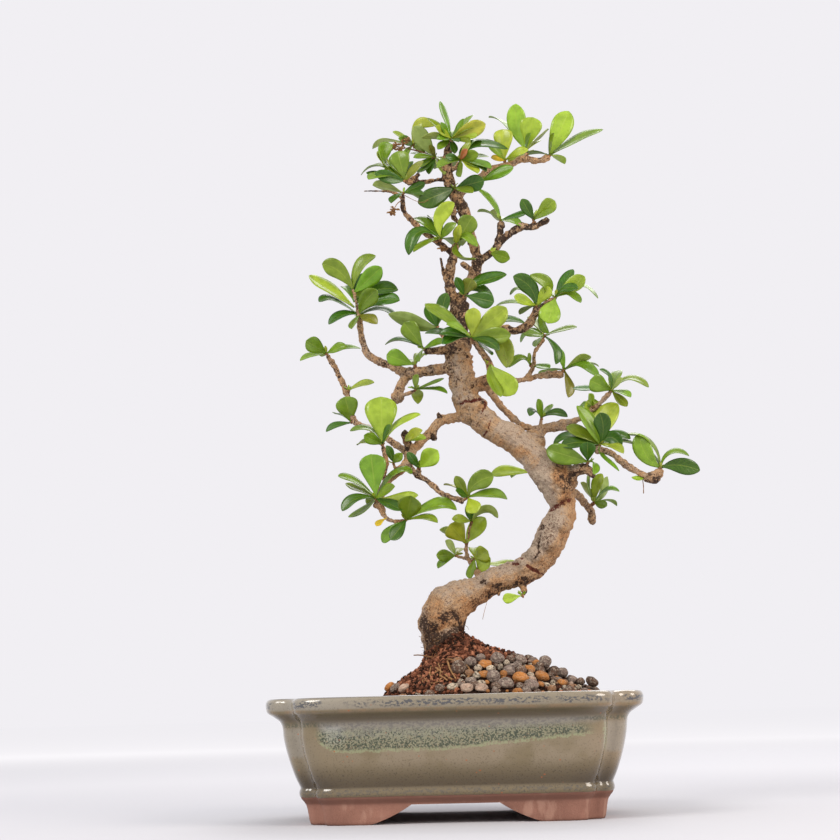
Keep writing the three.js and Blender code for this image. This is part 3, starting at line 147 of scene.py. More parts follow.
# The sprays: the first row has the middle's x, z and depth and the count of leaves behind it, and each
# other row is a leaf as LeafForm.seen reads it.
SPRAYS = {
    "crown_tip": """8 487 -2 1; -1 515.5 4 4 m; -8 505.5 8 4 m 3 492; 25 504.5 -6 3 m; 26.5 498.5 8 2.5 m;
        33.5 497.5 10 11 y; -13 490 14 -5 p; 13.5 484 14 3 d; 22 484 12 3.5 o; 17 493 -8 4 y; 2 500 12 4 m 4 493;
        27 489 10 5 y 18 489; -4 496.5 14 5 y; 18.5 502 6 4 m 14 494; -2 480 8 5 m; 10.5 476 6 5 d; -2 488 12 4 m""",
    "crown_centre": """-4 473.5 7 1; -19 498 6 11 p; -22 477.5 -10 2 m; 2 460 14 6 p; -9.5 461.5 8 5 d; 6 469 14 4 m;
        -17 466 4 4 m; -20 474.5 8 3.5 m; -8 483 6 4 o; -16.5 460.5 8 4 d -10 467; -13 482.5 -8 5 d""",
    "crown_right": """14.5 470.5 -16 1; 28.5 475.5 14 8 m; 50 483 -4 6 d 23 481; 33.5 461.5 8 3 d 24 468;
        35.5 473 -10 3 m; 26.5 459 14 5 y; 19.5 478.5 12 4 r; 22 484 6 4 y; -3 467 12 4 m; 31 465 10 3 m 22 467;
        15 457.5 12 5 m; 4 474 10 5 d; 30 488 -6 4 d 21 482; 37 463.5 10 4 m 25 468""",
    "crown_left_high": """-20.5 483.5 17 0; -5.5 498.5 8 7 y -16 499; -35 494.5 6 3 y; -29.5 489.5 16 6 m;
        -50 487.5 -12 -1.5 p; -8 488 -10 7 m; -14 493 -4 5 o; -27 475 -6 4 m; -12 478 8 4 m""",
    "crown_left_low": """-26.8 456.4 -15.3 1; -32 480 6 13 m; -48.5 464 10 9 d -37 459; -42 472 -8 6 d;
        -35 485 -6 4 m -43 474; -61 467 -8 2 m -43 468; -53.5 457.5 12 3 m -42 461.5; -13 471 10 5 o -22 462;
        -38 474 -6 5 m -33 465; -46 478 -10 3 y -41 468; -55 462 -4 4 d; -22 472 -8 6 d""",
    "left_arm_tip": "-28.5 447 -15 1; -50.5 454.5 -8 -6 p; -37.5 440.5 16 3.5 d; -12.5 453 -4 6 d; -13 446.5 4 3 d",
    "upper_stem": "9.5 449 -7 0; -17 439 10 13 d; 31 454 10 11 d; 23 445 14 5 m",
    "right_top_inner": "47 468.5 9 0; 46 493 4 13 y; 63 478 12 5 y; 37 471 10 3.5 g; 34 483.5 10 6 m; 40 481 -4 5 y",
    "right_top_low": "29.3 453.2 0.5 0; 53.5 462 8 8 m 41 458.5",
    "right_top_mid": """63 475.5 11 1; 57 511 2 13 y 57 493; 69 501 8 15 y; 39.5 506.5 -8 3 m 50 494; 67 489 14 2.5 m;
        73 484 -12 4 y; 81 490 -4 -1.5 p""",
    "right_top_outer": "80 471 17 2; 95.5 504.5 2 15 y; 120 488.5 2 5 m; 84.5 488 14 2.5 m",
    "black_fork": "42.5 423 -8 2; 25.5 447 -4 4 m 36 436; 36 430 -14 -5 p; 63 427 8 4 d; 57 420.5 14 3 m",
    "black_tip": "66.5 422.3 -22 2; 58.5 438.5 10 8 d; 82.5 436.5 6 10 m; 80 429.5 14 3.5 m",
    "middle_left_arm": """-1.5 411 -10 1; 9 438 4 10 y -2 427; -26 401 6 7 d -17 417; -22 402.5 14 3 m -10 409;
        -22 431 -6 7 m; -9 431 -10 6 d; 8 422.5 14 6 m""",
    "middle_right_arm": "9.5 407 -9 1; 22 427 6 13 m; 12 420 14 6 y; 25 405.5 12 4 m 15 413; 23.5 392.5 14 3 m 10 397",
    "black_start": "34.3 399 -8.5 0; 49 393.5 14 9 m",
    "middle_low": """14 368 -12 0; 8.5 381.5 12 6 d; 20 380 8 10 o; 45.5 381 2 8 d 25 376.5; 36 362 8 11 d;
        36 365 -4 6 d 22 373""",
    "trunk_top_left": "-6 345 -8 1; 2 370 8 9 d; -14 361 8 8 d; -38.5 358 -2 -10 p -21 347.5",
    "trunk_top_side": "-16 329.3 -4 0; -30 349 6 12 m; -44.5 336.5 -4 2 d -30 335.5; -21 321.5 14 2 m; -1.5 334 14 4 m",
    "front_shoot_spray": """18.5 336.2 -39 0; -14.5 362.5 0 8 m; 1.5 348 12 4 m; -4 342.5 6 6 d; -15 341 -8 4 d 0 341;
        -2.5 331.5 2 7 d 8 338.5; 21 358 10 10 y; 44.5 357.5 4 13 y; 47 337 8 11 m; 38 329.5 14 6 d;
        57 345.5 -10 5 d 38 347; 32 322 10 2 d; 43 313 2 12 o 38 333""",
    "front_hanging": "31.2 316.4 -33.4 0; 48 294 4 14 y; 37 291 12 8 m 32 305",
    "centre_inner": """66 358 -13 2; 50 380.5 4 11 d 62 372; 62 381 12 7 m 75 372; 76 371.5 8 9 y;
        46 369 -4 2.5 m 57 370; 49.5 365 12 7 y; 37 361 -6 2 m""",
    "centre_outer": """80 363.5 -18 1; 94 382.5 -6 7 d; 101.5 378 4 10 y; 97 368.5 12 5 d 87 370;
        113 365 -4 2 m 96 371.5; 98 359 8 3 m 90 366; 74 346 12 14 y; 74.5 338 -2 4 m 70 350""",
    "rear_middle": """70.5 335.5 45 1; 94.5 341 6 3 m; 57 338 14 5 m; 51.5 333 -8 4 m 61 339.5; 64 328 14 3 m;
        80 315 4 5 d 77.5 327""",
    "rear_right": """84 310 58 1; 80 326 10 5 m; 103.5 320 6 -6 p; 109 315.5 -8 2 m; 109 304.5 10 5 m 95 313;
        88 291 8 6 o 86.5 301""",
    "rear_inner": "60 314 52 0; 44.5 313.5 6 4 m 54 320; 74 311.5 14 4 m; 58 323 14 3 m",
    "junction": """66.5 275.8 15 0; 63.5 289.5 14 5 m; 74.5 284 -12 3 m; 85 277.5 8 4.5 d 75 279;
        57.5 277 12 3 d 61 281.5""",
    "right_high_tip": """117 293.5 -2 2; 102 302 12 12 m; 109.5 309.5 2 2 d 116 304; 125.5 302 14 3 p;
        144.5 296.5 2 3.5 m 130 302; 130.5 289 14 3 m; 127.5 281.5 8 6 o; 90 294.5 -4 3.5 d 104 295.5""",
    "right_high_mid": "103 283 -3 0; 101 292 12 4 m; 94 284.5 -12 4 m",
    "right_middle": """107 255 -10 0; 93 284 6 9 m 102 266; 108 278 10 11 d 110 266; 84 269 2 8 m;
        72.5 258 -4 5 d 88 262; 122 253 10 11 d 115 260; 80 255.5 8 8 d 93 257; 103 289 -14 13 y 104 272;
        128.5 258 -4 5 d 118 262; 123.5 251 16 4 y; 133 253.5 -10 2 m 121 256.5; 120.5 237 4 2.5 m 109 246;
        121 283 -10 14 y 110 270""",
    "right_knob": "98 242.8 -12.5 0; 69 253 4 13 m; 98.5 257 12 10 d; 73 246 -4 6 m; 101 233.5 12 3 m 103 241",
    "right_low_tip": """149 236.6 -6 1; 135 262 2 12 m 139 247; 123 264 -6 2 m 142 255; 170 248 4 3 m 156 246.5;
        176.5 234 2 10.5 d 161 238.5; 129.5 231.5 4 3 y 134 229.5 139 233""",
    "rear_low_right_spray": """101.5 213.5 46 1; 107 234 6 8 y 103 225; 113 232 -6 -6 p 109 221;
        119 223.5 8 1.5 m 109 221; 110.5 210.5 14 6 m; 92 228 -8 -4 p; 98 236 4 2 m 97 226""",
    "left_high": """-62.5 356 18 1; -89 395.5 2 12 m -76 389 -66 374; -51.5 403 4 8 m -62 391 -67 375;
        -45.5 391.5 10 12 m -56 382 -66 373; -57 388 -8 6 d -63 380 -66 372; -99.5 384.5 2 8 y -84 376 -66 362;
        -92 369.5 8 3 d -80 367.5; -85 350.5 6 5 d -73 357; -49 374.5 16 12 m -58 366;
        -34.5 376.5 4 9 d -50 374 -64 368; -33 366.5 8 8 d -48 366 -62 358; -36.5 353 -4 3 d -47 360;
        -50 350.5 16 7 o; -68 346 14 4 m; -74 380 -8 6 m -70 375 -66 366; -60 378 -4 9 m -63 370 -65 362""",
    "left_middle": "-23 317.4 2 2; -43 326 8 11 m",
    "left_cut_spray": "-23 299.5 -9 1; -21.5 310 14 4 m; -2 305 6 2 m; 0 297 8 2 m",
    "far_left_tip": "-86.5 328.5 40 1; -101.5 338.5 12 11 m; -73 334 12 6 m; -62 332 -6 2.5 m; -106.5 325.5 6 3 m",
    "far_left_low": "-69.5 277 34 1; -74 296 10 15 m; -88.5 272.5 4 4 d",
    "far_left_side": "-71 300.5 33 0; -52.5 305 8 4 y -63 304.5",
    "left_low_riser_spray": """-47.5 260.5 -22 0; -48 296 2 21 y; -19.5 279.5 4 4 y -36 273.5; -41 274 14 3 d;
        -61.5 268 14 8 m; -66.5 263 -10 4 m; -70 270 0 3 m -57 272""",
    "left_low_dead_spray": "-31.5 262 -22 0; -20 270 14 6 y; -16.5 265 4 4 y",
    "left_low_small": "-40 247 -28 0; -44 259 12 5 d; -34 253 12 6 m",
    "left_low_middle": "-21.7 242.6 -30.5 0; -9 254 14 12 y; -29 253 12 6 d",
    "left_low_big": """-53 221.5 -33 1; -56 253 2 17 m; -79.5 236.5 4 4 m -67 234; -74.5 231 -8 4 m;
        -78 214.5 6 6 d -66 222; -72 207.5 -4 3.5 m -60 215; -27 238.5 -4 3.5 m -39 239; -39 229.5 16 6 m;
        -35 212 14 7 d; -23.5 224 6 7 y -38 220.5""",
    "left_lowest_spray": """-32 205.5 -38 0; -28 223 14 15 m; -43.5 191.5 12 9 d; -51 191 -4 8 m;
        -53 201.5 4 3.5 g -50 205 -46 207; -9.5 205 6 3.5 m -20 206.5; 5 215.5 -4 8 m -13 214.5""",
    "front_low_spray": """12.3 220.5 -26 1; 4 235.5 10 7 m; 2.5 224.5 16 5 d; 31 235 4 12 m 18 230; 40.5 221 2 6 m;
        18 209 12 10 y""",
    "rear_low_top": "14 203 50 2; 12 215 12 6 d; 2 206 14 6 y; 34 205.5 6 -6 p 24 211",
    "rear_low_middle": "10.3 187.5 51 0; 24.5 206 -4 11 y 15 195; -1 202 10 15 y; -7.5 199 -6 -6 p",
    "rear_low_tip": "2.6 179.3 56.5 1; -11 180 14 9 m; -4 190 -12 -5 p; -10.5 171.5 12 4 m",
    "rear_low_base": "16 176.5 43 1; 25.5 182 16 12 y; 26.5 170 12 12 y; 12 163 14 6 m; 44 176.5 -6 3 y 31 171.5",
    "under_bend": "48 149.8 0 0; 34.5 147.5 4 7 y",
    "far_centre_spray": "59.4 236.5 70 2; 29 238 4 8 y",
}
GOLDEN = 0.6180339887
PLASTIC = 0.7548776662
THIRD = 0.5698402909


class Mark(Enum):
    """What a stroke on the bark is, by its place in the bark's marks."""

    WARM = 0
    DARK = 1
    SCAR = 2
    # Pale bark, and in part painted light where the trunk falls in shade.
    PALE = 3


class Tone(Enum):
    """A leaf's age and light, by the letter that the spray table gives it."""

    YOUNG = "y"
    MIDDLE = "m"
    DEEP = "d"
    PALE_UNDERSIDE = "p"
    OLIVE = "o"
    YELLOWED = "g"
    DRY = "r"


def rows_of(text: str) -> list[Row]:
    """The rows of a table's numbers and words, which semicolons part."""
    rows = (row.split() for row in text.split(";"))
    return [tuple(word if word[0].isalpha() else float(word) for word in row) for row in rows]


def points_of(numbers: Sequence[float], size: int) -> list[Sequence[float]]:
    """Numbers in a line as points of two or three each."""
    return [numbers[k : k + size] for k in range(0, len(numbers), size)]


def paint(red: int, green: int, blue: int) -> Colour:
    """A screen colour of 0 to 255 as the linear colour that a shader takes."""
    shares = (channel / 255 for channel in (red, green, blue))
    linear = (s / 12.92 if s <= 0.04045 else ((s + 0.055) / 1.055) ** 2.4 for s in shares)
    return (*linear, 1.0)


def share(count: int, step: float) -> float:
    """The fractional part of a multiple, which spreads repeats evenly."""
    return (count * step) % 1


def sight(x: float, z: float, y: float) -> Vector:
    """The real place of a point that was read at x, z and stands at depth y."""
    t = (y - EYE.y) / -EYE.y
    return Vector((EYE.x + (x - EYE.x) * t, y, EYE.z + (z - EYE.z) * t))


def read_at(places: np.ndarray) -> np.ndarray:
    """Where the lines of sight to real places meet the plane y = 0.

    Args:
        places: One real place a row.

    Returns:
        One row of x and z for each place.
    """
    eye = np.array(EYE)
    t = -eye[1] / (places[:, 1] - eye[1])
    return (eye + (places - eye) * t[:, None])[:, [0, 2]]


def smooth_step(values: np.ndarray, low: float, high: float) -> np.ndarray:
    """A soft rise from 0 at low to 1 at high, either way round."""
    t = np.clip((values - low) / (high - low), 0, 1)
    return t * t * (3 - 2 * t)


def unit(rows: np.ndarray) -> np.ndarray:
    """Each row at a length of one."""
    return rows / np.maximum(np.linalg.norm(rows, axis=-1, keepdims=True), 1e-9)


class Wire:
    """An output socket whose arithmetic adds Math nodes to its graph."""

    def __init__(self, graph: "Graph", socket: NodeSocket) -> None:
        """Wraps one socket of a graph."""
        self.graph = graph
        self.socket = socket

    def _with(self, operation: str, first: object, second: object) -> "Wire":
        """The result of one Math node."""
        return self.graph.node("ShaderNodeMath", {"operation": operation}, {0: first, 1: second})

    def __add__(self, other: object) -> "Wire":
        """This value and another."""
        return self._with("ADD", self, other)

    __radd__ = __add__

    def __sub__(self, other: object) -> "Wire":
        """This value less another."""
        return self._with("SUBTRACT", self, other)

    def __rsub__(self, other: object) -> "Wire":
        """Another value less this one."""
        return self._with("SUBTRACT", other, self)

    def __mul__(self, other: object) -> "Wire":
        """This value times another."""
        return self._with("MULTIPLY", self, other)

    __rmul__ = __mul__

    def __abs__(self) -> "Wire":
        """This value without its sign."""
        return self._with("ABSOLUTE", self, None)

    def fraction(self) -> "Wire":
        """This value's fractional part."""
        return self._with("FRACT", self, None)

    def most(self, other: object) -> "Wire":
        """The larger of this value and another."""
        return self._with("MAXIMUM", self, other)

    def rise(self, low: float, high: float, start: float = 0.0, end: float = 1.0) -> "Wire":
        """A soft step from its start at low to its end at high."""
        ends = {"Value": self, "From Min": low, "From Max": high, "To Min": start, "To Max": end}
        return self.graph.node("ShaderNodeMapRange", {"interpolation_type": "SMOOTHSTEP"}, ends)

    def fall(self, low: float, high: float) -> "Wire":
        """A soft step from 1 at low to 0 at high."""
        return self.rise(low, high, 1.0, 0.0)

    def parts(self) -> tuple["Wire", "Wire", "Wire"]:
        """The x, y and z of a vector."""
        apart = self.graph.node("ShaderNodeSeparateXYZ", {}, {0: self})
        outputs = apart.socket.node.outputs
        return tuple(Wire(self.graph, outputs[axis]) for axis in "XYZ")

    def stretched(self, x: float, y: float, z: float) -> "Wire":
        """A vector with its parts multiplied."""
        return self.graph.node("ShaderNodeVectorMath", {"operation": "MULTIPLY"}, {0: self, 1: (x, y, z)})


class Graph:
    """A material's node tree under construction."""

    def __init__(self, name: str) -> None:
        """Starts a material with an empty tree."""
        self.material = bpy.data.materials.new(name)
        self.material.use_nodes = True
        self.tree = self.material.node_tree
        self.tree.nodes.clear()

    def node(
        self,
        kind: str,
        settings: dict[str, object] | None = None,
        inputs: dict[int | str, object] | None = None,
        output: int | str = 0,
    ) -> Wire:
        """Adds any node.

        Args:
            kind: The node's type.
            settings: Its properties, set first, with a colour ramp's stops under "stops".
            inputs: A value or a wire for each of its sockets that needs one.
            output: The output to return.

        Returns:
            The wire from that output.
        """
        made = self.tree.nodes.new(kind)
        for key, value in (settings or {}).items():
            if key == "stops":
                self._set_stops(made.color_ramp, value)
            else:
                setattr(made, key, value)
        for key, value in (inputs or {}).items():
            if isinstance(value, Wire):
                self.tree.links.new(value.socket, made.inputs[key])
            elif value is not None:
                made.inputs[key].default_value = value
        return Wire(self, made.outputs[output])

    @staticmethod
    def _set_stops(ramp: ColorRamp, stops: Sequence[tuple[float, Colour]]) -> None:
        """Gives a colour ramp its stops."""
        while len(ramp.elements) < len(stops):
            ramp.elements.new(1.0)
        for element, (position, colour) in zip(ramp.elements, stops):
            element.position = position
            element.color = colour

    def here(self) -> Wire:
        """The place on the object in millimetres about the pot's centre."""
        place = self.node("ShaderNodeTexCoord", output="Object")
        centred = {"Vector": place, "Location": (-POT_X / MM, 0, 0), "Scale": (1 / MM,) * 3}
        return self.node("ShaderNodeMapping", inputs=centred)

    def carried(self, name: str, output: str = "Vector") -> Wire:
        """An attribute that the mesh carries."""
        return self.node("ShaderNodeAttribute", {"attribute_name": name}, output=output)

    def grain(self, place: Wire, per_mm: float, detail: float = 2.0, roughness: float = 0.5) -> Wire:
        """Noise of about one patch in every 1 / per_mm millimetres."""
        inputs = {"Vector": place, "Scale": per_mm, "Detail": detail, "Roughness": roughness}
        return self.node("ShaderNodeTexNoise", inputs=inputs)

    def cells(self, place: Wire, per_mm: float, feature: str = "F1", output: str = "Distance") -> Wire:
        """Voronoi cells, of about one in every 1 / per_mm millimetres."""
        return self.node("ShaderNodeTexVoronoi", {"feature": feature}, {"Vector": place, "Scale": per_mm}, output)

    def mixed(self, amount: object, first: object, second: object, blend: str = "MIX") -> Wire:
        """Two colours mixed by an amount."""
        settings = {"data_type": "RGBA", "blend_type": blend}
        return self.node("ShaderNodeMix", settings, {0: amount, 6: first, 7: second}, 2)

    def layered(self, base: object, *layers: tuple[object, Colour]) -> Wire:
        """A colour with others laid over it in turn, each by its amount."""
        for amount, colour in layers:
            base = self.mixed(amount, base, colour)
        return base

    def ramp(self, value: Wire, stops: Sequence[tuple[float, Colour]]) -> Wire:
        """A colour for each value, between stops."""
        return self.node("ShaderNodeValToRGB", {"stops": stops}, {0: value})

    def relief(self, height: Wire, depth_mm: float, strength: float = 1.0, under: Wire | None = None) -> Wire:
        """A bumped normal from a height of 0 to 1 that stands for a depth."""
        inputs = {"Height": height, "Distance": depth_mm * MM, "Strength": strength, "Normal": under}
        return self.node("ShaderNodeBump", inputs=inputs)

    def surface(self, **sockets: object) -> Wire:
        """A Principled shader, with its sockets' names written with underscores."""
        inputs = {name.replace("_", " "): value for name, value in sockets.items()}
        return self.node("ShaderNodeBsdfPrincipled", inputs=inputs)

    def finished(self, shader: Wire) -> Material:
        """The material, with its shader on the output."""
        output = self.tree.nodes.new("ShaderNodeOutputMaterial")
        self.tree.links.new(shader.socket, output.inputs["Surface"])
        return self.material


@dataclass(frozen=True)
class LeafBlade:
    """A waxy leaf with a pale rib and faint side veins, through which some light passes."""

    rib: Colour = paint(186, 202, 84)
    vein: Colour = paint(164, 188, 60)
    underside: Colour = paint(158, 176, 82)
    shade: Colour = paint(186, 198, 130)
    blotch: Colour = paint(120, 92, 40)
    veins: float = 8.0
    through: float = 0.36

    def material(self) -> Material:
        """The leaf material, which reads leaf_place and leaf_tint."""
        g = Graph("leaf_blade")
        along, across, under = g.carried("leaf_place").parts()
        tint = g.carried("leaf_tint", "Color")
        here = g.here()
        off_rib = abs(across)
        mottle = g.grain(here, 0.16, 3)
        fine = g.grain(here, 1.3, 2)
        rib = off_rib.fall(0.015, 0.07)
        to_vein = abs(((along - off_rib * 0.24) * self.veins).fraction() - 0.5)
        vein = to_vein.fall(0.0, 0.13) * off_rib.fall(0.55, 0.95) * along.rise(0.2, 0.34)
        base = g.mixed(mottle.rise(0.36, 0.66) * 0.5, tint, g.mixed(1.0, tint, self.shade, "MULTIPLY"))
        spots = g.cells(here, 0.42).fall(0.1, 0.17) * g.carried("leaf_blotch", "Fac")
        skin = (vein * 0.12, self.vein), (rib * 0.28, self.rib), (under * 0.45, self.underside)
        base = g.layered(base, *skin, (spots, self.blotch))
        height = rib * 0.5 + vein * 0.2 + mottle * 0.8 + fine * 0.12
        normal = g.relief(height, 0.25, 0.5)
        gloss = g.surface(
            Base_Color=base, Roughness=0.24 + fine * 0.1 + under * 0.25, Specular_IOR_Level=0.45,
            Coat_Weight=0.35, Coat_Roughness=0.2, Normal=normal,
        )
        glow = g.node("ShaderNodeBsdfTranslucent", inputs={"Color": base, "Normal": normal})
        return g.finished(g.node("ShaderNodeMixShader", inputs={0: self.through, 1: gloss, 2: glow}))


@dataclass(frozen=True)
class Bark:
    """Fissured bark, grey where smooth and orange-tan where knobbly, with dark and red-brown scars."""

    smooth: Colour = paint(182, 160, 138)
    tan: Colour = paint(190, 154, 116)
    warm: Colour = paint(188, 138, 92)
    brown: Colour = paint(152, 106, 70)
    black: Colour = paint(54, 39, 30)
    umber: Colour = paint(100, 66, 44)
    scar: Colour = paint(92, 32, 20)
    # Pale grey of pale flecks, and of painted light where the PALE strokes lie.
    lichen_and_painted_light: Colour = paint(214, 200, 176)

    def material(self) -> Material:
        """The bark material, which reads bark_grain and bark_marks, whose warm and dark marks carry painted shade as
        well as the bark's own colour.
        """
        g = Graph("bark")
        here = g.here()
        grain = g.carried("bark_grain")
        warm, dark, scar = g.carried("bark_marks").parts()
        blotch = g.grain(here, 0.13, 3, 0.6)
        fibre = g.grain(grain.stretched(1.0, 1.0, 0.2), 0.7, 4, 0.6)
        fleck = g.grain(here, 0.62, 4, 0.7)
        patch = g.grain(here, 0.27, 3, 0.6)
        rings = g.grain(grain.stretched(0.15, 0.15, 1.0), 0.6, 3)
        tone = warm + (blotch - 0.5) * 0.9 + (fibre - 0.5) * 0.8 + (rings - 0.5) * 0.5
        stops = ((0.05, self.smooth), (0.4, self.tan), (0.78, self.warm), (1.05, self.brown))
        base = g.ramp(tone, stops)
        pale = fleck.rise(0.55, 0.68) * patch.rise(0.42, 0.6)
        # Hollows and cracks are umber; specks close up to black patches where the bark is dark, by its own colour and
        # by its painted shade.
        cracks = fibre.fall(0.34, 0.44).most(rings.fall(0.3, 0.4) * 0.7)
        cover = dark * 0.19 + warm * 0.02 + 0.01
        pores = g.grain(here.stretched(1.0, 1.0, 0.8), 1.15, 2, 0.6)
        base = g.layered(
            base,
            # Pale flecks, and painted light where the PALE strokes lie.
            ((pale * 0.5).most(warm.fall(-0.4, -0.05) * 0.6), self.lichen_and_painted_light),
            (cracks * (0.25 + warm * 0.3), self.umber),
            ((patch * 0.3 + fleck * 0.7 + cover * 0.62).rise(0.55, 0.64) * 0.7, self.umber),
            ((pores + cover * 0.5).rise(0.6, 0.68) * 0.75, self.umber),
            ((fleck * 0.75 + fibre * 0.25 + cover * 0.86).rise(0.63, 0.69) * 0.9, self.black),
            ((scar + (fleck - 0.5) * 2.4).rise(0.42, 0.7) * 0.92, self.scar),
        )
        coarse = g.relief(fibre * 0.8 + fleck * 1.1 + rings * 0.4 - pores * 0.6, 1.5, 1.0)
        fine = g.relief(g.grain(here, 2.2, 3, 0.7), 0.35, 0.8, coarse)
        return g.finished(
            g.surface(Base_Color=base, Roughness=0.66 + fleck * 0.24, Specular_IOR_Level=0.3, Normal=fine)
        )


@dataclass(frozen=True)
class GlazedPot:
    """Olive-grey glaze with a speckled green run, over bare pinkish clay at the foot; its colour also carries painted
    reflections and painted shade.
    """

    olive: Colour = paint(118, 103, 72)
    # Pale colour of the painted reflection round the middle of the walls.
    reflected_beige: Colour = paint(141, 126, 103)
    # Dark olive: painted reflection low on the walls, painted shade under the lip, a dark line along the top of the
    # rim, and dark specks.
    deep: Colour = paint(64, 50, 28)
    # Pale grey: the glaze's haze above the green run, and painted reflection on the corners and the lip.
    haze: Colour = paint(146, 141, 130)
    milk: Colour = paint(170, 172, 170)
    green: Colour = paint(42, 54, 30)
    sage: Colour = paint(136, 138, 106)
    light_green: Colour = paint(146, 156, 114)
    blue_black: Colour = paint(56, 58, 64)
    orange: Colour = paint(160, 84, 40)
    # Warm brown: the lip's brown lower edge and brown crumbs in the green run, and painted warm light on the right end.
    worn_and_warm_light: Colour = paint(140, 112, 78)
    clay: Colour = paint(158, 112, 94)
    clay_dark: Colour = paint(112, 74, 60)
    clay_pale: Colour = paint(182, 142, 122)
    glaze_line: float = 18.2

    def material(self) -> Material:
        """The pot material: everything is placed by height and side in millimetres."""
        g = Graph("glazed_pot")
        here = g.here()
        x, y, z = here.parts()
        cloud = g.grain(here, 0.035, 4, 0.55)
        runs = g.grain(here.stretched(1.0, 1.0, 0.3), 0.16, 3)
        fleck = g.grain(here, 0.7, 3, 0.6)
        fine = g.grain(here, 2.2, 2)
        belly_reflection = z.rise(30.0, 42.0) * z.fall(50.0, 62.0)
        corner = abs(x).rise(95.0, 101.0) * (z + (runs - 0.5) * 4.0).rise(42.0, 45.5) * z.fall(60.0, 66.0)
        cove_shade = z.rise(64.0, 68.0) * z.fall(70.5, 73.0)
        edge = z.rise(71.6, 72.6) * z.fall(73.4, 75.0)
        pepper = g.grain(here, 1.0, 2, 0.6).rise(0.56, 0.66)
        glaze = g.layered(
            self.olive,
            # Painted reflection: a paler band round the middle of the walls, weaker to the left.
            (belly_reflection * (0.8 - x.fall(-90.0, -30.0) * 0.45) * cloud.rise(0.3, 0.55), self.reflected_beige),
            # Painted warm light: the right end is warmer.
            (x.rise(70.0, 118.0) * 0.35, self.worn_and_warm_light),
            # Painted reflection: paler corners at mid height.
            (corner * 0.5, self.haze),
            # Painted reflection: a paler lip, more to the left.
            (z.rise(73.0, 75.0) * (0.35 + x.fall(-95.0, -20.0) * 0.3), self.haze),
            # Painted reflection of the dark below: the lower walls are dark, more at the corners, and the bead just
            # above the foot keeps the olive.
            (z.fall(24.0, 43.0) * (0.74 + abs(x).rise(66.0, 96.0) * 0.24), self.deep),
            (z.fall(22.0, 24.4) * 0.7, self.olive),
            # Painted shade in the hollow under the lip.
            (cove_shade * 0.62, self.deep),
            (edge * runs.rise(0.35, 0.6) * 0.6, self.worn_and_warm_light),
            (z.rise(81.0, 81.7) * (0.3 + x.fall(-20.0, 60.0) * 0.6), self.deep),
            (pepper * (0.3 + z.fall(30.0, 46.0) * 0.4), self.deep),
        )
        # The green run on the front panel. Its light lower edge climbs at both ends.
        slump = (-74.0 - x).most(0.0)
        level = z - ((x + 8.0) * 0.078).most(0.0) - slump * slump * 0.04
        level = level + (g.grain(here, 0.17, 4, 0.65) - 0.5) * 5.0 - 47.2
        front = (0.0 - y).rise(66.0, 74.0) * (x + (fleck - 0.5) * 6.0).rise(-90.0, -84.0)
        haze = level.rise(5.0, 11.0) * z.fall(64.0, 68.0) * front * x.fall(84.0, 104.0)
        cloudy = abs(x + 77.0 + (cloud - 0.5) * 12.0).fall(3.0, 9.0) * z.rise(49.0, 55.0) * z.fall(61.0, 65.0)
        band = level.rise(0.2, 2.4) * z.fall(58.5, 64.0) * front * x.fall(78.0, 94.0)
        curds = g.grain(here.stretched(1.1, 1.1, 1.0), 0.86, 3, 0.62) + level.fall(0.0, 14.0) * 0.1
        curds = curds.rise(0.55, 0.585)
        crumbs = g.grain(here, 0.9, 2, 0.6).rise(0.6, 0.66)
        # A light green streak at the right-hand groove: glaze colour in part, and in part a painted highlight.
        groove = abs(x - 98.0 + (fleck - 0.5) * 6.0).fall(0.4, 2.0) * z.rise(42.0, 47.0) * z.fall(58.0, 66.0)
        lower = level.rise(-1.0, 0.0) * level.fall(0.8, 2.2) * x.fall(84.0, 92.0) * z.fall(60.0, 64.0)
        lower = (lower + groove) * front * fleck.rise(0.4, 0.54)
        seam = z.rise(62.6, 63.8) * z.fall(65.2, 67.0) * abs(x).rise(72.0, 92.0) * fleck.rise(0.42, 0.52)
        # Dark flecks along the lip and the bead, and a few orange ones.
        line = z + (runs - 0.5) * 4.0
        lip = line.rise(74.6, 76.0) * line.fall(78.4, 80.0) * g.grain(here, 0.045, 2).rise(0.36, 0.5)
        bead = z.rise(18.6, 19.6) * z.fall(22.0, 23.4)
        specks = g.grain(here.stretched(0.6, 0.6, 1.0), 0.75, 3, 0.65).rise(0.47, 0.55)
        rust = g.cells(here.stretched(1.0, 1.0, 1.3), 0.13).fall(0.07, 0.1) * cloud.rise(0.45, 0.55)
        glaze = g.layered(
            glaze,
            (haze * 0.7, self.haze),
            (cloudy * front * 0.6, self.milk),
            (band * 0.6, self.sage),
            (band * curds * 0.94, self.green),
            (band * crumbs * 0.55, self.worn_and_warm_light),
            (lower * 0.62, self.light_green),
            (seam * 0.6, self.green),
            (specks * (lip * 0.9 + bead * 0.4 + haze * 0.35), self.blue_black),
            (rust * 0.8, self.orange),
        )
        # The bare clay.
        sand = g.grain(here, 1.4, 4, 0.7)
        clay = g.layered(
            self.clay,
            (cloud.rise(0.35, 0.65) * 0.5 + sand.rise(0.4, 0.8) * 0.4, self.clay_dark),
            (runs.rise(0.5, 0.68) * 0.45, self.clay_pale),
            (z.rise(12.4, 14.4) * 0.85, self.clay_dark),
            ((z + (fleck - 0.5) * 3.0).fall(0.4, 2.2) * 0.5, self.clay_dark),
        )
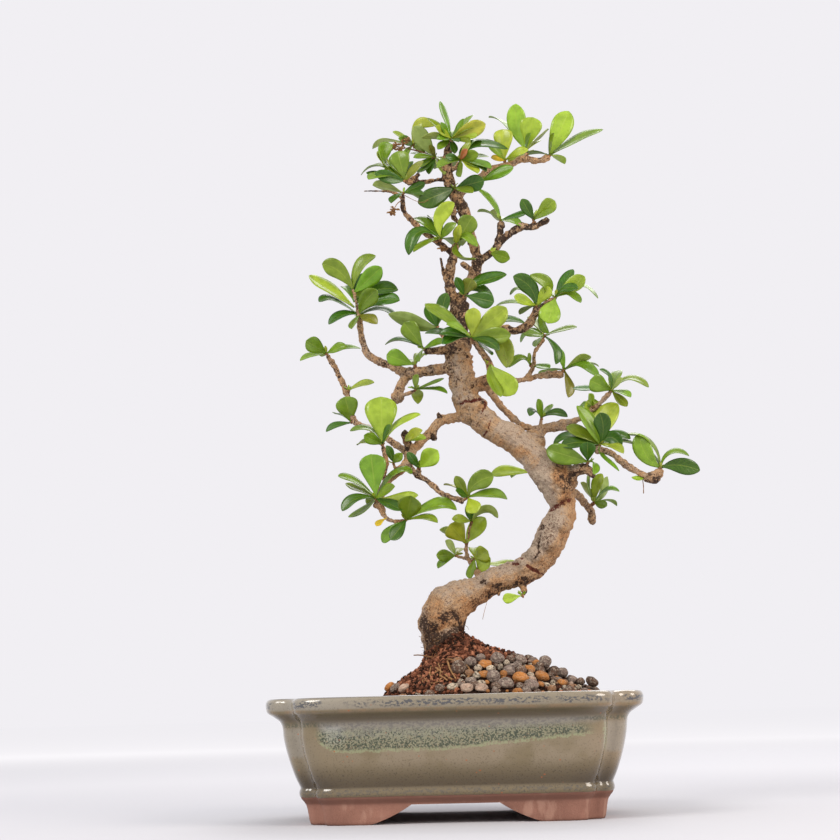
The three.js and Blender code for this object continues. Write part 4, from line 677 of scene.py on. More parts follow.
        # Glaze lies above its line on the outer walls, and on all sides near the rim.
        glazed = (z + (g.grain(here, 0.11, 2) - 0.5) * 1.5).rise(self.glaze_line - 0.25, self.glaze_line + 0.2)
        outside = abs(x).rise(74.0, 76.0).most(abs(y).rise(53.0, 55.0))
        glazed = glazed * outside.most(z.rise(60.0, 63.0))
        base = g.mixed(glazed, clay, glaze)
        bump = g.relief(sand * (1.0 - glazed) + (fine * 0.012 + band * curds * 0.3) * glazed, 0.35, 0.7)
        bump = g.relief(cloud * 0.6 + runs * 0.15, 1.4, 0.4, bump)
        shader = g.surface(
            Base_Color=base, Roughness=0.78 - glazed * 0.64 + fleck * 0.06, Specular_IOR_Level=0.5,
            Coat_Weight=glazed * 0.8, Coat_Roughness=0.05, Normal=bump,
        )
        return g.finished(shader)


@dataclass(frozen=True)
class Earth:
    """Red-brown crumbly soil, darker where it is wet, and darker in the gaps among the pebbles as painted shade."""

    dry: Colour = paint(174, 116, 86)
    red: Colour = paint(116, 70, 50)
    # Darkest soil, where it is wet and, as painted shade, in the gaps among the pebbles.
    damp_and_shaded: Colour = paint(44, 28, 20)

    def material(self) -> Material:
        """The soil material, which reads crumb_shade."""
        g = Graph("soil")
        here = g.here()
        clods = g.grain(here, 0.12, 3)
        grit = g.grain(here, 0.9, 4, 0.7)
        shade = g.carried("crumb_shade", "Fac") + (clods - 0.5) * 0.7 + (grit - 0.5) * 0.9
        base = g.ramp(shade, ((0.2, self.damp_and_shaded), (0.55, self.red), (0.95, self.dry)))
        normal = g.relief(grit, 0.9, 0.9)
        return g.finished(g.surface(Base_Color=base, Roughness=0.95, Specular_IOR_Level=0.15, Normal=normal))


@dataclass(frozen=True)
class BakedClayBall:
    """Pebbles of baked clay, powdery and ringed, each in its own colour, with painted shade on their undersides."""

    dust: Colour = paint(196, 184, 164)
    dark: Colour = paint(44, 36, 32)

    def material(self) -> Material:
        """The pebble material, which reads pebble_tint and pebble_place."""
        g = Graph("pebble")
        here = g.here()
        tint = g.carried("pebble_tint", "Color")
        place = g.carried("pebble_place")
        _, _, up = place.parts()
        grit = g.grain(here, 0.8, 4, 0.7)
        rings = g.grain(place.stretched(0.4, 0.4, 2.8), 1.9, 3, 0.6)
        streaks = g.grain(place, 2.4, 3, 0.7)
        ridged = g.carried("pebble_ridged", "Fac")
        base = g.layered(
            tint,
            (rings.fall(0.38, 0.52) * (0.25 + ridged * 0.6), self.dark),
            (streaks.rise(0.5, 0.62) * (0.12 + ridged * 0.55), self.dust),
            (grit.fall(0.36, 0.46) * 0.5, self.dark),
            # Painted shade on each pebble's underside.
            (up.fall(-0.9, -0.1) * 0.6, self.dark),
        )
        normal = g.relief(grit, 0.6, 0.9, g.relief(rings * ridged + streaks * 0.4, 1.3, 0.9))
        return g.finished(g.surface(Base_Color=base, Roughness=0.86, Specular_IOR_Level=0.25, Normal=normal))


@dataclass(frozen=True)
class Withered:
    """Dry flowers, threads and root fibres."""

    pale: Colour = paint(168, 128, 84)
    brown: Colour = paint(96, 62, 38)

    def material(self) -> Material:
        """The material of what is dry, which reads crumb_shade."""
        g = Graph("withered")
        here = g.here()
        streak = g.grain(here, 0.7, 3, 0.6)
        base = g.mixed(g.carried("crumb_shade", "Fac") + (streak - 0.5) * 0.8, self.brown, self.pale)
        normal = g.relief(streak, 0.4, 0.8)
        return g.finished(g.surface(Base_Color=base, Roughness=0.85, Specular_IOR_Level=0.2, Normal=normal))


@dataclass(frozen=True)
class MeshPlastic:
    """Dull dark green plastic of the drainage mesh, dusty with soil."""

    plastic: Colour = paint(30, 42, 34)
    dust: Colour = paint(96, 74, 58)

    def material(self) -> Material:
        """The drainage mesh's material."""
        g = Graph("mesh_plastic")
        here = g.here()
        dust = g.grain(here, 0.25, 4, 0.6)
        base = g.mixed(dust.rise(0.5, 0.72) * 0.5, self.plastic, self.dust)
        normal = g.relief(g.grain(here, 1.6, 2), 0.2, 0.5)
        return g.finished(g.surface(Base_Color=base, Roughness=0.5 + dust * 0.3, Normal=normal))


@dataclass(frozen=True)
class StudioFloor:
    """A plain pale floor."""

    near: Colour = paint(194, 194, 198)
    far: Colour = paint(254, 254, 254)

    def material(self) -> Material:
        """The floor's material, paler away from the lights so that it meets the air evenly."""
        g = Graph("studio_floor")
        x, y, _ = g.here().parts()
        away = (x * x + y * y) * 1e-6
        base = g.mixed(away.rise(0.0, 0.8) * 0.14 + away.rise(0.6, 7.5) * 0.86, self.near, self.far)
        return g.finished(g.surface(Base_Color=base, Roughness=0.9, Specular_IOR_Level=0.0))


@dataclass(frozen=True)
class Shape:
    """A small closed mesh that is repeated: its corners, one a row, and its faces of as many corners each."""

    corners: np.ndarray
    faces: np.ndarray

    @classmethod
    def taken_from(cls, bm: BMesh) -> "Shape":
        """The shape of a bmesh, which is freed."""
        bm.verts.index_update()
        corners = np.array([v.co[:] for v in bm.verts])
        faces = np.array([[v.index for v in face.verts] for face in bm.faces])
        bm.free()
        return cls(corners, faces)

    @classmethod
    def blade(cls, along: int, across: int) -> "Shape":
        """A closed sheet whose corners are (share along, side of the rib, skin), for leaves.

        Args:
            along: Steps from the stalk to the tip.
            across: Steps from edge to edge.

        Returns:
            The sheet, with a skin of 1 on top and of -1 below.
        """
        bm = bmesh.new()
        bmesh.ops.create_grid(bm, x_segments=along, y_segments=across, size=1)
        bmesh.ops.solidify(bm, geom=bm.verts[:] + bm.edges[:] + bm.faces[:], thickness=0.2)
        bmesh.ops.recalc_face_normals(bm, faces=bm.faces[:])
        made = cls.taken_from(bm)
        low, high = made.corners[:, 2].min(), made.corners[:, 2].max()
        made.corners[:, 2] = np.where(made.corners[:, 2] > (low + high) / 2, 1, -1)
        made.corners[:, 0] = 1 - ((1 - made.corners[:, 0]) / 2) ** 1.35
        return made

    @classmethod
    def rod(cls, sides: int, rings: int) -> "Shape":
        """A closed round bar of length and radius one along Z, for stems and fibres."""
        bm = bmesh.new()
        bmesh.ops.create_circle(bm, cap_ends=True, segments=sides, radius=1)
        bottom = bm.faces[:]
        for _ in range(rings):
            grown = bmesh.ops.extrude_face_region(bm, geom=bottom)["geom"]
            raised = [v for v in grown if isinstance(v, BMVert)]
            bmesh.ops.translate(bm, verts=raised, vec=(0, 0, 1 / rings))
            bottom = [f for f in grown if isinstance(f, BMFace)]
        bmesh.ops.recalc_face_normals(bm, faces=bm.faces[:])
        bmesh.ops.triangulate(bm, faces=bm.faces[:])
        return cls.taken_from(bm)

    @classmethod
    def ball(cls, fineness: int) -> "Shape":
        """A round ball of radius one, for crumbs, buds and pebbles."""
        bm = bmesh.new()
        bmesh.ops.create_icosphere(bm, subdivisions=fineness, radius=1)
        return cls.taken_from(bm)


@dataclass
class Heap:
    """Copies of small shapes, gathered to become one mesh, with what each corner carries."""

    corners: list[np.ndarray] = field(default_factory=list)
    faces: list[list[int]] = field(default_factory=list)
    slots: list[int] = field(default_factory=list)
    carried: dict[str, list[np.ndarray]] = field(default_factory=dict)
    count: int = 0

    def add(self, corners: np.ndarray, faces: np.ndarray, slot: int = 0, **carried: np.ndarray) -> None:
        """Adds one copy.

        Args:
            corners: The places of its corners, in millimetres.
            faces: Its faces, by its own corners.
            slot: The material slot of its faces.
            carried: A value, vector or colour for every corner, by attribute name.
        """
        self.corners.append(corners)
        self.faces += (faces + self.count).tolist()
        self.slots += [slot] * len(faces)
        self.count += len(corners)
        for name, values in carried.items():
            self.carried.setdefault(name, []).append(np.asarray(values, float))

    def add_shaded(self, corners: np.ndarray, faces: np.ndarray, shade: float) -> None:
        """Adds one copy that carries a crumb_shade alone."""
        self.add(corners, faces, crumb_shade=np.full(len(corners), shade))

    def mesh(self, name: str) -> Mesh:
        """The heap as one mesh."""
        mesh = bpy.data.meshes.new(name)
        mesh.from_pydata(np.vstack(self.corners).tolist(), [], self.faces)
        mesh.polygons.foreach_set("material_index", self.slots)
        for key, runs in self.carried.items():
            carry(mesh, key, np.concatenate(runs))
        return mesh


def carry(mesh: Mesh, name: str, values: np.ndarray) -> None:
    """Stores a value, vector or colour for every corner of a mesh as an attribute."""
    kinds = {1: ("FLOAT", "value"), 3: ("FLOAT_VECTOR", "vector"), 4: ("FLOAT_COLOR", "color")}
    kind, key = kinds[1 if values.ndim == 1 else values.shape[1]]
    attribute = mesh.attributes.new(name, kind, "POINT")
    attribute.data.foreach_set(key, np.ascontiguousarray(values, np.float32).ravel())


def stood(name: str, data: ID) -> Object:
    """A new object in the scene."""
    made = bpy.data.objects.new(name, data)
    bpy.context.scene.collection.objects.link(made)
    return made


def set_down(
    name: str,
    mesh: Mesh,
    finishes: Sequence[Material],
    replaced: Sequence[str] = (),
    smooth: bool = True,
) -> Object:
    """Makes a mesh in millimetres about the pot's centre a piece of the object.

    Args:
        name: The piece's name.
        mesh: Its mesh, which is moved into the frame.
        finishes: Its materials, by slot.
        replaced: The CAD nodes that it stands for.
        smooth: Whether its faces are shaded as one surface.

    Returns:
        The piece.
    """
    mesh.transform(Matrix.Translation((POT_X, 0, 0)) @ Matrix.Scale(MM, 4))
    mesh.name = name
    for finish in finishes:
        mesh.materials.append(finish)
    if smooth:
        mesh.shade_smooth()
    piece = stood(name, mesh)
    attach(piece, "root")
    if replaced:
        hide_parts(*replaced)
    LOG.info("%s: %d faces", name, len(mesh.polygons))
    return piece


def as_mesh(bm: BMesh, name: str) -> Mesh:
    """A bmesh as a mesh, and the bmesh freed."""
    mesh = bpy.data.meshes.new(name)
    bm.to_mesh(mesh)
    bm.free()
    return mesh


def with_modifiers(data: ID, *steps: tuple[str, dict[str, object]]) -> Mesh:
    """A mesh or a curve as a mesh, after modifiers have worked on it.

    Args:
        data: The mesh or the curve.
        steps: Each modifier's type and settings, in order.

    Returns:
        The new mesh.
    """
    holder = stood("holder", data)
    for kind, settings in steps:
        modifier = holder.modifiers.new(kind.title(), kind)
        for key, value in settings.items():
            setattr(modifier, key, value)
    made = bpy.data.meshes.new_from_object(holder.evaluated_get(bpy.context.evaluated_depsgraph_get()))
    bpy.data.objects.remove(holder)
    return made


def laid_along(shape: Shape, path: Sequence[Vector], radii: Sequence[float]) -> tuple[np.ndarray, np.ndarray]:
    """A rod bent along a path.

    Args:
        shape: The rod.
        path: The points that it runs through.
        radii: Its radius at each of those points.

    Returns:
        The corners of the bent rod, and how far along the path each is, as a share.
    """
    points = np.array([p[:] for p in path])
    share_along = shape.corners[:, 2]
    stops = np.linspace(0, 1, len(points))
    middle = np.stack([np.interp(share_along, stops, points[:, i]) for i in range(3)], 1)
    run = unit(np.stack([np.interp(share_along, stops, np.gradient(points[:, i])) for i in range(3)], 1))
    overall = points[-1] - points[0]
    aside = np.array((0, 0, 1.0)) if abs(overall[2]) < 0.8 * np.linalg.norm(overall) else np.array((1.0, 0, 0))
    first = unit(np.cross(run, aside))
    second = np.cross(run, first)
    radius = np.interp(share_along, stops, radii)[:, None]
    corners = middle + radius * (first * shape.corners[:, :1] + second * shape.corners[:, 1:2])
    return corners, share_along


def smooth_run(rows: Sequence[Sequence[float]], step: float) -> np.ndarray:
    """A smooth run through rows of numbers, whose first three are a place.

    Args:
        rows: The rows that the run passes through.
        step: About how far apart its samples are.

    Returns:
        One row for each sample.
    """
    rows = np.asarray(rows, float)
    if len(rows) < 3:
        count = max(2, int(np.linalg.norm(rows[1, :3] - rows[0, :3]) / step) + 1)
        return rows[0] + (rows[1] - rows[0]) * np.linspace(0, 1, count)[:, None]
    padded = np.vstack([2 * rows[0] - rows[1], rows, 2 * rows[-1] - rows[-2]])
    gaps = np.linalg.norm(np.diff(padded[:, :3], axis=0), axis=1)
    knots = np.concatenate([[0], np.cumsum(np.sqrt(np.maximum(gaps, 1e-6)))])
    samples = []
    for k in range(1, len(padded) - 2):
        count = max(2, int(gaps[k] / step))
        for t in knots[k] + (knots[k + 1] - knots[k]) * np.arange(count) / count:
            samples.append(_run_point(padded[k - 1 : k + 3], knots[k - 1 : k + 3], t))
    samples.append(rows[-1])
    return np.array(samples)


def _run_point(p: np.ndarray, k: np.ndarray, t: float) -> np.ndarray:
    """One point of a centripetal Catmull-Rom run between the second and third of four rows."""
    first = [p[i] + (p[i + 1] - p[i]) * (t - k[i]) / (k[i + 1] - k[i]) for i in range(3)]
    second = [first[i] + (first[i + 1] - first[i]) * (t - k[i]) / (k[i + 2] - k[i]) for i in range(2)]
    return second[0] + (second[1] - second[0]) * (t - k[1]) / (k[2] - k[1])


@dataclass
class Pot:
    """A tray pot with notched corners and a foot ring that arches leave as four feet.

    Each level of its walls has its height, its inset from the rim, its notch and its corner radius.
    """

    half_length: float = 125
    half_depth: float = 95
    outside: str = """
        0 28.6 12 6; 0.5 27.9 12 6; 13 25.2 12.5 6; 17.2 22.2 13 6.5; 17.9 22.1 13 6.5; 18.5 21.5 13 6.6;
        20 21.1 13 6.6; 21.4 21.1 13 6.6; 22.8 21.4 13 6.6; 23.9 21.8 13 6.6; 25 21.5 13 6.7; 28.5 19.9 13.2 6.8;
        34 17.8 13.5 7; 46 14.2 14 7.2; 57 11.9 14.5 7.4; 62 11.4 15 7.6; 65 10.8 15.4 7.8; 67.5 9.2 16.4 8.4;
        69.4 6.6 18 9; 71 4.1 19.6 9.8; 72.1 2.2 20.8 10.2; 73.4 0.8 21.6 10.6; 76 0.1 22 10.8; 78.6 0 22 10.8;
        80.6 0.6 22 10.8; 81.6 1.6 22 10.6; 82 3 22 10.4
    """
    inside: str = """
        82 11.4 19 8; 81.2 13.2 18 7.6; 78 15 17 7.4; 58 19.5 14 6.5; 30 28.5 12.5 6; 22 32 12 6
    """
    foot_top: float = 13.0
    arch_height: float = 12.6
    front_arch: tuple[float, float] = (55.5, 28.5)
    side_arch: tuple[float, float] = (32, 15)
    drain_radius: float = 10
    drain_x: float = 48
    # How much longer its corners' rounding is along the panels than across them.
    ease: float = 1.9

    def plan(
        self, z: float, inset: float, notch: float, radius: float, fineness: int = 6, panel: int = 10
    ) -> list[Vector]:
        """The outline at one level, with its straight panels in parts.

        Args:
            z: The level's height.
            inset: How far it lies within the rim.
            notch: How far its corners step in.
            radius: Its corners' radius.
            fineness: Points on each round corner.
            panel: Parts in each long straight panel.

        Returns:
            The outline's points, in order.
        """
        a, b = self.half_length - inset, self.half_depth - inset
        groove, long = min(radius, notch - radius) * 0.96, radius * self.ease
        arcs = (
            (a - notch - long, b - radius, long, radius, math.pi / 2, 0.0),
            (a - notch + groove, b - notch + groove, groove, groove, math.pi, math.pi * 1.5),
            (a - radius, b - notch - long, radius, long, math.pi / 2, 0.0),
        )
        quarter = []
        for cx, cy, along, across, start, end in arcs:
            for i in range(fineness + 1):
                turn = start + (end - start) * i / fineness
                quarter.append((cx + along * math.cos(turn), cy + across * math.sin(turn)))
        turned = quarter[::-1]
        corners = quarter + [(x, -y) for x, y in turned]
        corners += [(-x, -y) for x, y in quarter] + [(-x, y) for x, y in turned]
        outline = []
        for i, (x, y) in enumerate(corners):
            outline.append(Vector((x, y, z)))
            if (i + 1) % len(quarter) == 0:
                nx, ny = corners[(i + 1) % len(corners)]
                outline += [Vector((x + (nx - x) * k / panel, y + (ny - y) * k / panel, z)) for k in range(1, panel)]
        return outline

    @staticmethod
    def skin(levels: Sequence[Sequence[Vector]]) -> BMesh:
        """A closed skin through outlines of as many points each."""
        bm = bmesh.new()
        loops = []
        for level in levels:
            points = [bm.verts.new(p) for p in level]
            loops.append([bm.edges.new(pair) for pair in zip(points, points[1:] + points[:1])])
        for low, high in zip(loops, loops[1:]):
            bmesh.ops.bridge_loops(bm, edges=low + high)
        for end in (loops[0], loops[-1]):
            bmesh.ops.edgeloop_fill(bm, edges=end)
        bmesh.ops.recalc_face_normals(bm, faces=bm.faces[:])
        return bm

    @staticmethod
    def _finer(levels: str) -> list[list[float]]:
        """A table's levels with more between them, on a smooth run."""
        rows = [(inset, z, 0.0, notch, radius) for z, inset, notch, radius in rows_of(levels)]
        return [[row[1], row[0], row[3], row[4]] for row in smooth_run(rows, 1.3)]

    def _arch(self, bottom: float, top: float, length: float, turned: bool) -> Mesh:
        """A prism that cuts the foot ring under the pot and leaves a foot at each end."""
        bm = bmesh.new()
        side = []
        for i in range(9):
            t = i / 8
            middle = ((bottom + top) / 2 - 1.5, 4.6)
            side.append((
                (1 - t) ** 2 * bottom + 2 * t * (1 - t) * middle[0] + t * t * top,
                2 * t * (1 - t) * middle[1] + t * t * self.arch_height,
            ))
        profile = [(-bottom, -1.0), (bottom, -1.0), *side, *[(-u, w) for u, w in reversed(side)]]
        face = bm.faces.new([bm.verts.new((u, -length, w)) for u, w in profile])
        grown = bmesh.ops.extrude_face_region(bm, geom=[face])
        far = [v for v in grown["geom"] if isinstance(v, BMVert)]
        bmesh.ops.translate(bm, verts=far, vec=(0, 2 * length, 0))
        if turned:
            bmesh.ops.rotate(bm, verts=bm.verts[:], matrix=Matrix.Rotation(math.pi / 2, 3, "Z"))
        bmesh.ops.recalc_face_normals(bm, faces=bm.faces[:])
        return as_mesh(bm, "arch")

    def _cutters(self) -> list[Mesh]:
        """What is cut away under the pot and through its floor."""
        under = as_mesh(self.skin([self.plan(z, 43, 8, 5, 3, 2) for z in (-1.0, self.foot_top)]), "under")
        drains = []
        for x in (-self.drain_x, self.drain_x):
            bm = bmesh.new()
            round_bar = {"radius1": self.drain_radius, "radius2": self.drain_radius, "depth": 30}
            bmesh.ops.create_cone(bm, cap_ends=True, segments=32, matrix=Matrix.Translation((x, 0, 18)), **round_bar)
            drains.append(as_mesh(bm, "drain"))
        front = self._arch(*self.front_arch, self.half_depth, False)
        side = self._arch(*self.side_arch, self.half_length, True)
        return [under, *drains, front, side]

    def mesh(self) -> Mesh:
        """The pot's mesh."""
        wall = [self.plan(*level) for level in self._finer(self.outside)]
        hollow = [self.plan(*level) for level in self._finer(self.inside)]
        mesh = as_mesh(self.skin([*wall, *hollow]), "pot")
        for cutter in self._cutters():
            tool = stood("cutter", cutter)
            mesh = with_modifiers(mesh, ("BOOLEAN", {"operation": "DIFFERENCE", "solver": "EXACT", "object": tool}))
            bpy.data.objects.remove(tool)
        return self._softened(mesh)

    def _softened(self, mesh: Mesh) -> Mesh:
        """The mesh with the cut edges of its feet a little rounded."""
        bm = bmesh.new()
        bm.from_mesh(mesh)
        bmesh.ops.remove_doubles(bm, verts=bm.verts[:], dist=0.01)
        sharp = [
            edge for edge in bm.edges
            if len(edge.link_faces) == 2 and edge.calc_face_angle() > 0.9
            and max(v.co.z for v in edge.verts) < self.foot_top + 0.1
        ]
        bmesh.ops.bevel(
            bm, geom=sharp, offset=0.7, segments=2, profile=0.5, affect="EDGES", material=-1, clamp_overlap=True
        )
        return as_mesh(bm, "pot")

    def build(self, glaze: Material, plastic: Material) -> None:
        """Sets down the pot and gives the drainage mesh its plastic."""
        piece = set_down("glazed_pot", self.mesh(), [glaze], ["pot"])
        piece.data.set_sharp_from_angle(angle=math.radians(42))
        for name in ("drain_mesh_left", "drain_mesh_right"):
            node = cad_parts[name]
            node.data.materials.clear()
            node.data.materials.append(plastic)
            LOG.info("%s: finished", name)


@dataclass
class Mound:
    """The soil: a mound round the trunk that fills the pot to its edge."""

    pot: Pot
    edge: float = 78
    x: float = 3
    y: float = -4
    peak: float = 122
    left: float = 58
    right: float = 99
    front: float = 76
    back: float = 84
    bulge: float = 0.04
    # Where it stands above or below an even slope: x, y, rise and reach.
    humps: tuple[tuple[float, float, float, float], ...] = (
        (6, -6, 3.6, 14), (44, -10, 2.6, 13), (-20, -10, -5.5, 9),
    )
    rings: int = 46

    def height(self, x: float, y: float) -> float:
        """The soil's height at a place."""
        u = (x - self.x) / (self.left if x < self.x else self.right)
        v = (y - self.y) / (self.front if y < self.y else self.back)
        d = min(math.hypot(u, v), 1.0)
        humps = sum(
            rise * math.exp(-((x - hx) ** 2 + (y - hy) ** 2) / reach**2) for hx, hy, rise, reach in self.humps
        )
        return self.edge + (self.peak - self.edge) * (1 - d + self.bulge * math.sin(math.pi * d)) + humps

    def place(self, bearing: float, d: float) -> Vector:
        """The place on the mound at a bearing and a share of the way down it."""
        c, s = math.cos(bearing), math.sin(bearing)
        x = self.x + d * c * (self.left if c < 0 else self.right)
        y = self.y + d * s * (self.front if s < 0 else self.back)
        return Vector((x, y, self.height(x, y)))

    def normal(self, x: float, y: float) -> Vector:
        """The direction that the surface faces at a place."""
        step = 1.5
        slope_x = (self.height(x + step, y) - self.height(x - step, y)) / (2 * step)
        slope_y = (self.height(x, y + step) - self.height(x, y - step)) / (2 * step)
        return Vector((-slope_x, -slope_y, 1)).normalized()

    def seen(self, x: float, z: float) -> Vector:
        """The place on the surface that is read at x, z from the front."""
        y = -84.0
        while y < 60:
            place = sight(x, z, y)
            if place.z <= self.height(place.x, place.y) + 0.4:
                return place
            y += 0.5
        return sight(x, z, -20.0)

    def mesh(self) -> Mesh:
        """The filling of the pot, closed by the mound's rough surface."""
        sides = [self.pot.plan(z, inset, notch, 6, 4, 22) for z, inset, notch in ((25, 31.4, 12.3), (58, 20.2, 14))]
        rim = self.pot.plan(76, 15.9, 16.7, 6, 4, 22)
        rings = []
        for k in range(self.rings):
            s = max(1 - k / (self.rings - 1), 0.012)
            ring = []
            for p in rim:
                x, y = self.x + (p.x - self.x) * s, self.y + (p.y - self.y) * s
                rough = noise.noise(Vector((x, y, 0)) / 5.5) * 1.3 + noise.noise(Vector((x, y, 9)) / 1.9) * 0.7
                ring.append(Vector((x, y, self.height(x, y) + rough * min(1.0, (1 - s) * 9) - 0.4)))
            rings.append(ring)
        return as_mesh(Pot.skin([*sides, *rings]), "soil")


@dataclass
class Bed:
    """The soil and the clay pebbles of the pot."""

    mound: Mound
    wood: "Wood"
    crumbs: int = 5200
    clinging: int = 2200
    scattered: int = 5500
    filled: int = 300
    # Pebbles that are seen: x, z, radius across, radius high, and the colour's letter.
    seen: str = """
        1.5 104.5 3.8 2.8 t; 2.5 99 5.6 5.6 b; 10.5 103.5 4.2 4 g; 17.5 106.5 3.4 3 g; 28.8 104.8 5 4.8 g;
        20.5 102 5 2.7 o; 35.5 102.5 2.4 2.6 m; 38 105 3 3 b; 45 103.8 4.4 4 g; 61.5 101.5 4.8 5 g;
        57.5 98.5 3.2 4.4 b; 51.5 98 3.8 2.8 o; 43 101 3.2 2.8 g; 37 96.8 4.4 3.8 g; 45 97 4.4 3.4 b;
        15.5 99.3 3 2.8 m; 24.5 99 3.4 2.2 m; 31 99.5 1.8 3 m; 14.5 94.5 3 2 m; 20 95.5 4.2 2 o; 9.5 96 3 3 t;
        26 92.5 5 5 g; 33.5 92.3 2.2 1.6 o; 44.5 91.8 5.6 3.8 o; 52 94.2 2.6 1.8 m; 52.5 91 3.6 2.4 p;
        59.5 92.5 5.2 3.6 o; 67.5 94.5 4.4 5 b; 73.8 94.5 3.8 3.8 g; 67 88.5 2 1.8 m; 73 88 3.4 2.4 o;
        80 89 4.6 3.8 g; 86 88.3 3.2 3 b; 93.5 87.8 4.6 3.6 b; 10.5 91 3.8 2.4 g; 12.5 88.3 3.8 2.4 b;
        7.5 86.2 4.6 2.8 p; 17.5 86.2 4.6 2.4 p; 17.5 89.5 3 1.8 m; 34.5 88 5.4 4 g; 27.5 86.6 3.6 2.8 b;
        52 86.8 5.2 3.6 g; 58.5 87.5 2.6 2 o; 44.5 86.5 3.4 2.4 b; 63 87 2.6 1.6 m; -2.5 87.2 3.8 2.4 m;
        -11 86.5 3.4 2.8 b; -45.5 88 4.4 3.2 o; -41.5 87.3 4.2 3.2 g; -35.8 87.2 4 2.8 p; 41 107.5 2.6 2.2 b;
        3 91.6 2.4 1.2 m
    """
    tints: dict[str, Colour] = field(default_factory=lambda: {
        "g": paint(124, 106, 96), "b": paint(98, 74, 60), "o": paint(172, 112, 56),
        "p": paint(176, 148, 128), "t": paint(146, 106, 74), "m": paint(190, 172, 148),
    })
    ridges: dict[str, float] = field(default_factory=lambda: {
        "g": 0.6, "b": 0.6, "o": 0.12, "p": 0.45, "t": 0.3, "m": 1.4,
    })

    @staticmethod
    def bare(place: Vector) -> bool:
        """Whether the soil shows at a place, with no pebbles on it."""
        return place.z > 82.5 and (place.x < 4 + 0.3 * (place.z - 84) or place.z > 109 - 0.1 * place.x)

    @staticmethod
    def _crumb(heap: Heap, ball: Shape, place: Vector, shade: float, rng: Random, coarse: float = 1.0) -> None:
        """Adds one crumb at a place."""
        size = rng.choice((0.45, 0.6, 0.7, 0.9, 1.1, 1.6)) * rng.uniform(0.8, 1.25) * coarse
        jitter = np.array([[rng.uniform(0.62, 1.2)] for _ in ball.corners])
        turn = np.array(Matrix.Rotation(rng.uniform(0, 6.3), 3, Vector((rng.random(), rng.random(), 0.3))))
        corners = (ball.corners * jitter * np.array((1, 1, 0.8)) * size) @ turn.T
        corners += np.array(place) + np.array((0, 0, size * 0.35))
        heap.add_shaded(corners, ball.faces, shade)

    def _crumbs(self, rng: Random) -> Heap:
        """The soil's loose crumbs, denser where it is bare, and those that cling to the trunk."""
        heap, ball = Heap(), Shape.ball(1)
        while heap.count < self.crumbs * len(ball.corners):
            bearing, d = rng.uniform(-math.pi, math.pi), math.sqrt(rng.uniform(0.002, 1.08))
            place = self.mound.place(bearing, d)
            if abs(place.x) > 104 or abs(place.y) > 75:
                continue
            bare = self.bare(place)
            if bare or rng.random() < 0.35:
                # Crumbs among the pebbles are darker, as painted shade in the gaps.
                self._crumb(heap, ball, place, rng.uniform(0.05, 1.0) * (1.0 if bare else 0.45), rng)
        for _ in range(self.clinging):
            turn = rng.uniform(-math.pi, math.pi)
            away = Vector((math.cos(turn), math.sin(turn), 0))
            climb = rng.random() ** 1.4
            level = Vector((-6, -1, 100 + (20 + 9 * away.x) * climb))
            place = self.wood.skin.ray_cast(level + away * 60, -away)[0]
            if place is not None:
                self._crumb(heap, ball, place, rng.uniform(0.0, 1.0) * (1.1 - 0.6 * climb), rng)
        return heap

    def _scattered(self, rng: Random) -> Heap:
        """Coarser crumbs over the flat soil round the mound."""
        heap, ball = Heap(), Shape.ball(1)
        while heap.count < self.scattered * len(ball.corners):
            x, y = rng.uniform(-102, 102), rng.uniform(-73, 73)
            place = Vector((x, y, self.mound.height(x, y)))
            if place.z > self.mound.edge + 2 or (abs(x) > 85 and abs(y) > 56):
                continue
            self._crumb(heap, ball, place, rng.uniform(0.1, 0.95), rng, 1.5)
        return heap

    def _pebble(self, heap: Heap, ball: Shape, at: Vector, size: Sequence[float], kind: str, turn: float) -> None:
        """Adds one pebble that lies in the slope.

        Args:
            heap: Where it goes.
            ball: The ball that it is shaped from.
            at: The place on the surface under it.
            size: Its radii along, across and up.
            kind: The letter of its colour.
            turn: Its turn about the slope's normal.
        """
        up = self.mound.normal(at.x, at.y)
        lean = up.to_track_quat("Z", "X").to_matrix() @ Matrix.Rotation(turn, 3, "Z")
        lumps = np.array([[1 + 0.16 * noise.noise(Vector(c) * 1.4 + at)] for c in ball.corners])
        corners = (ball.corners * lumps * np.array(size)) @ np.array(lean).T
        corners += np.array(at) + np.array(up) * size[2] * 0.42
        tint = np.array(self.tints[kind]) * (0.85 + 0.3 * share(heap.count, GOLDEN))
        heap.add(
            corners, ball.faces, pebble_tint=np.tile(tint, (len(corners), 1)),
            pebble_place=ball.corners + np.array((turn * 3, at.x * 0.1, 0)),
            pebble_ridged=np.full(len(corners), self.ridges[kind]),
        )

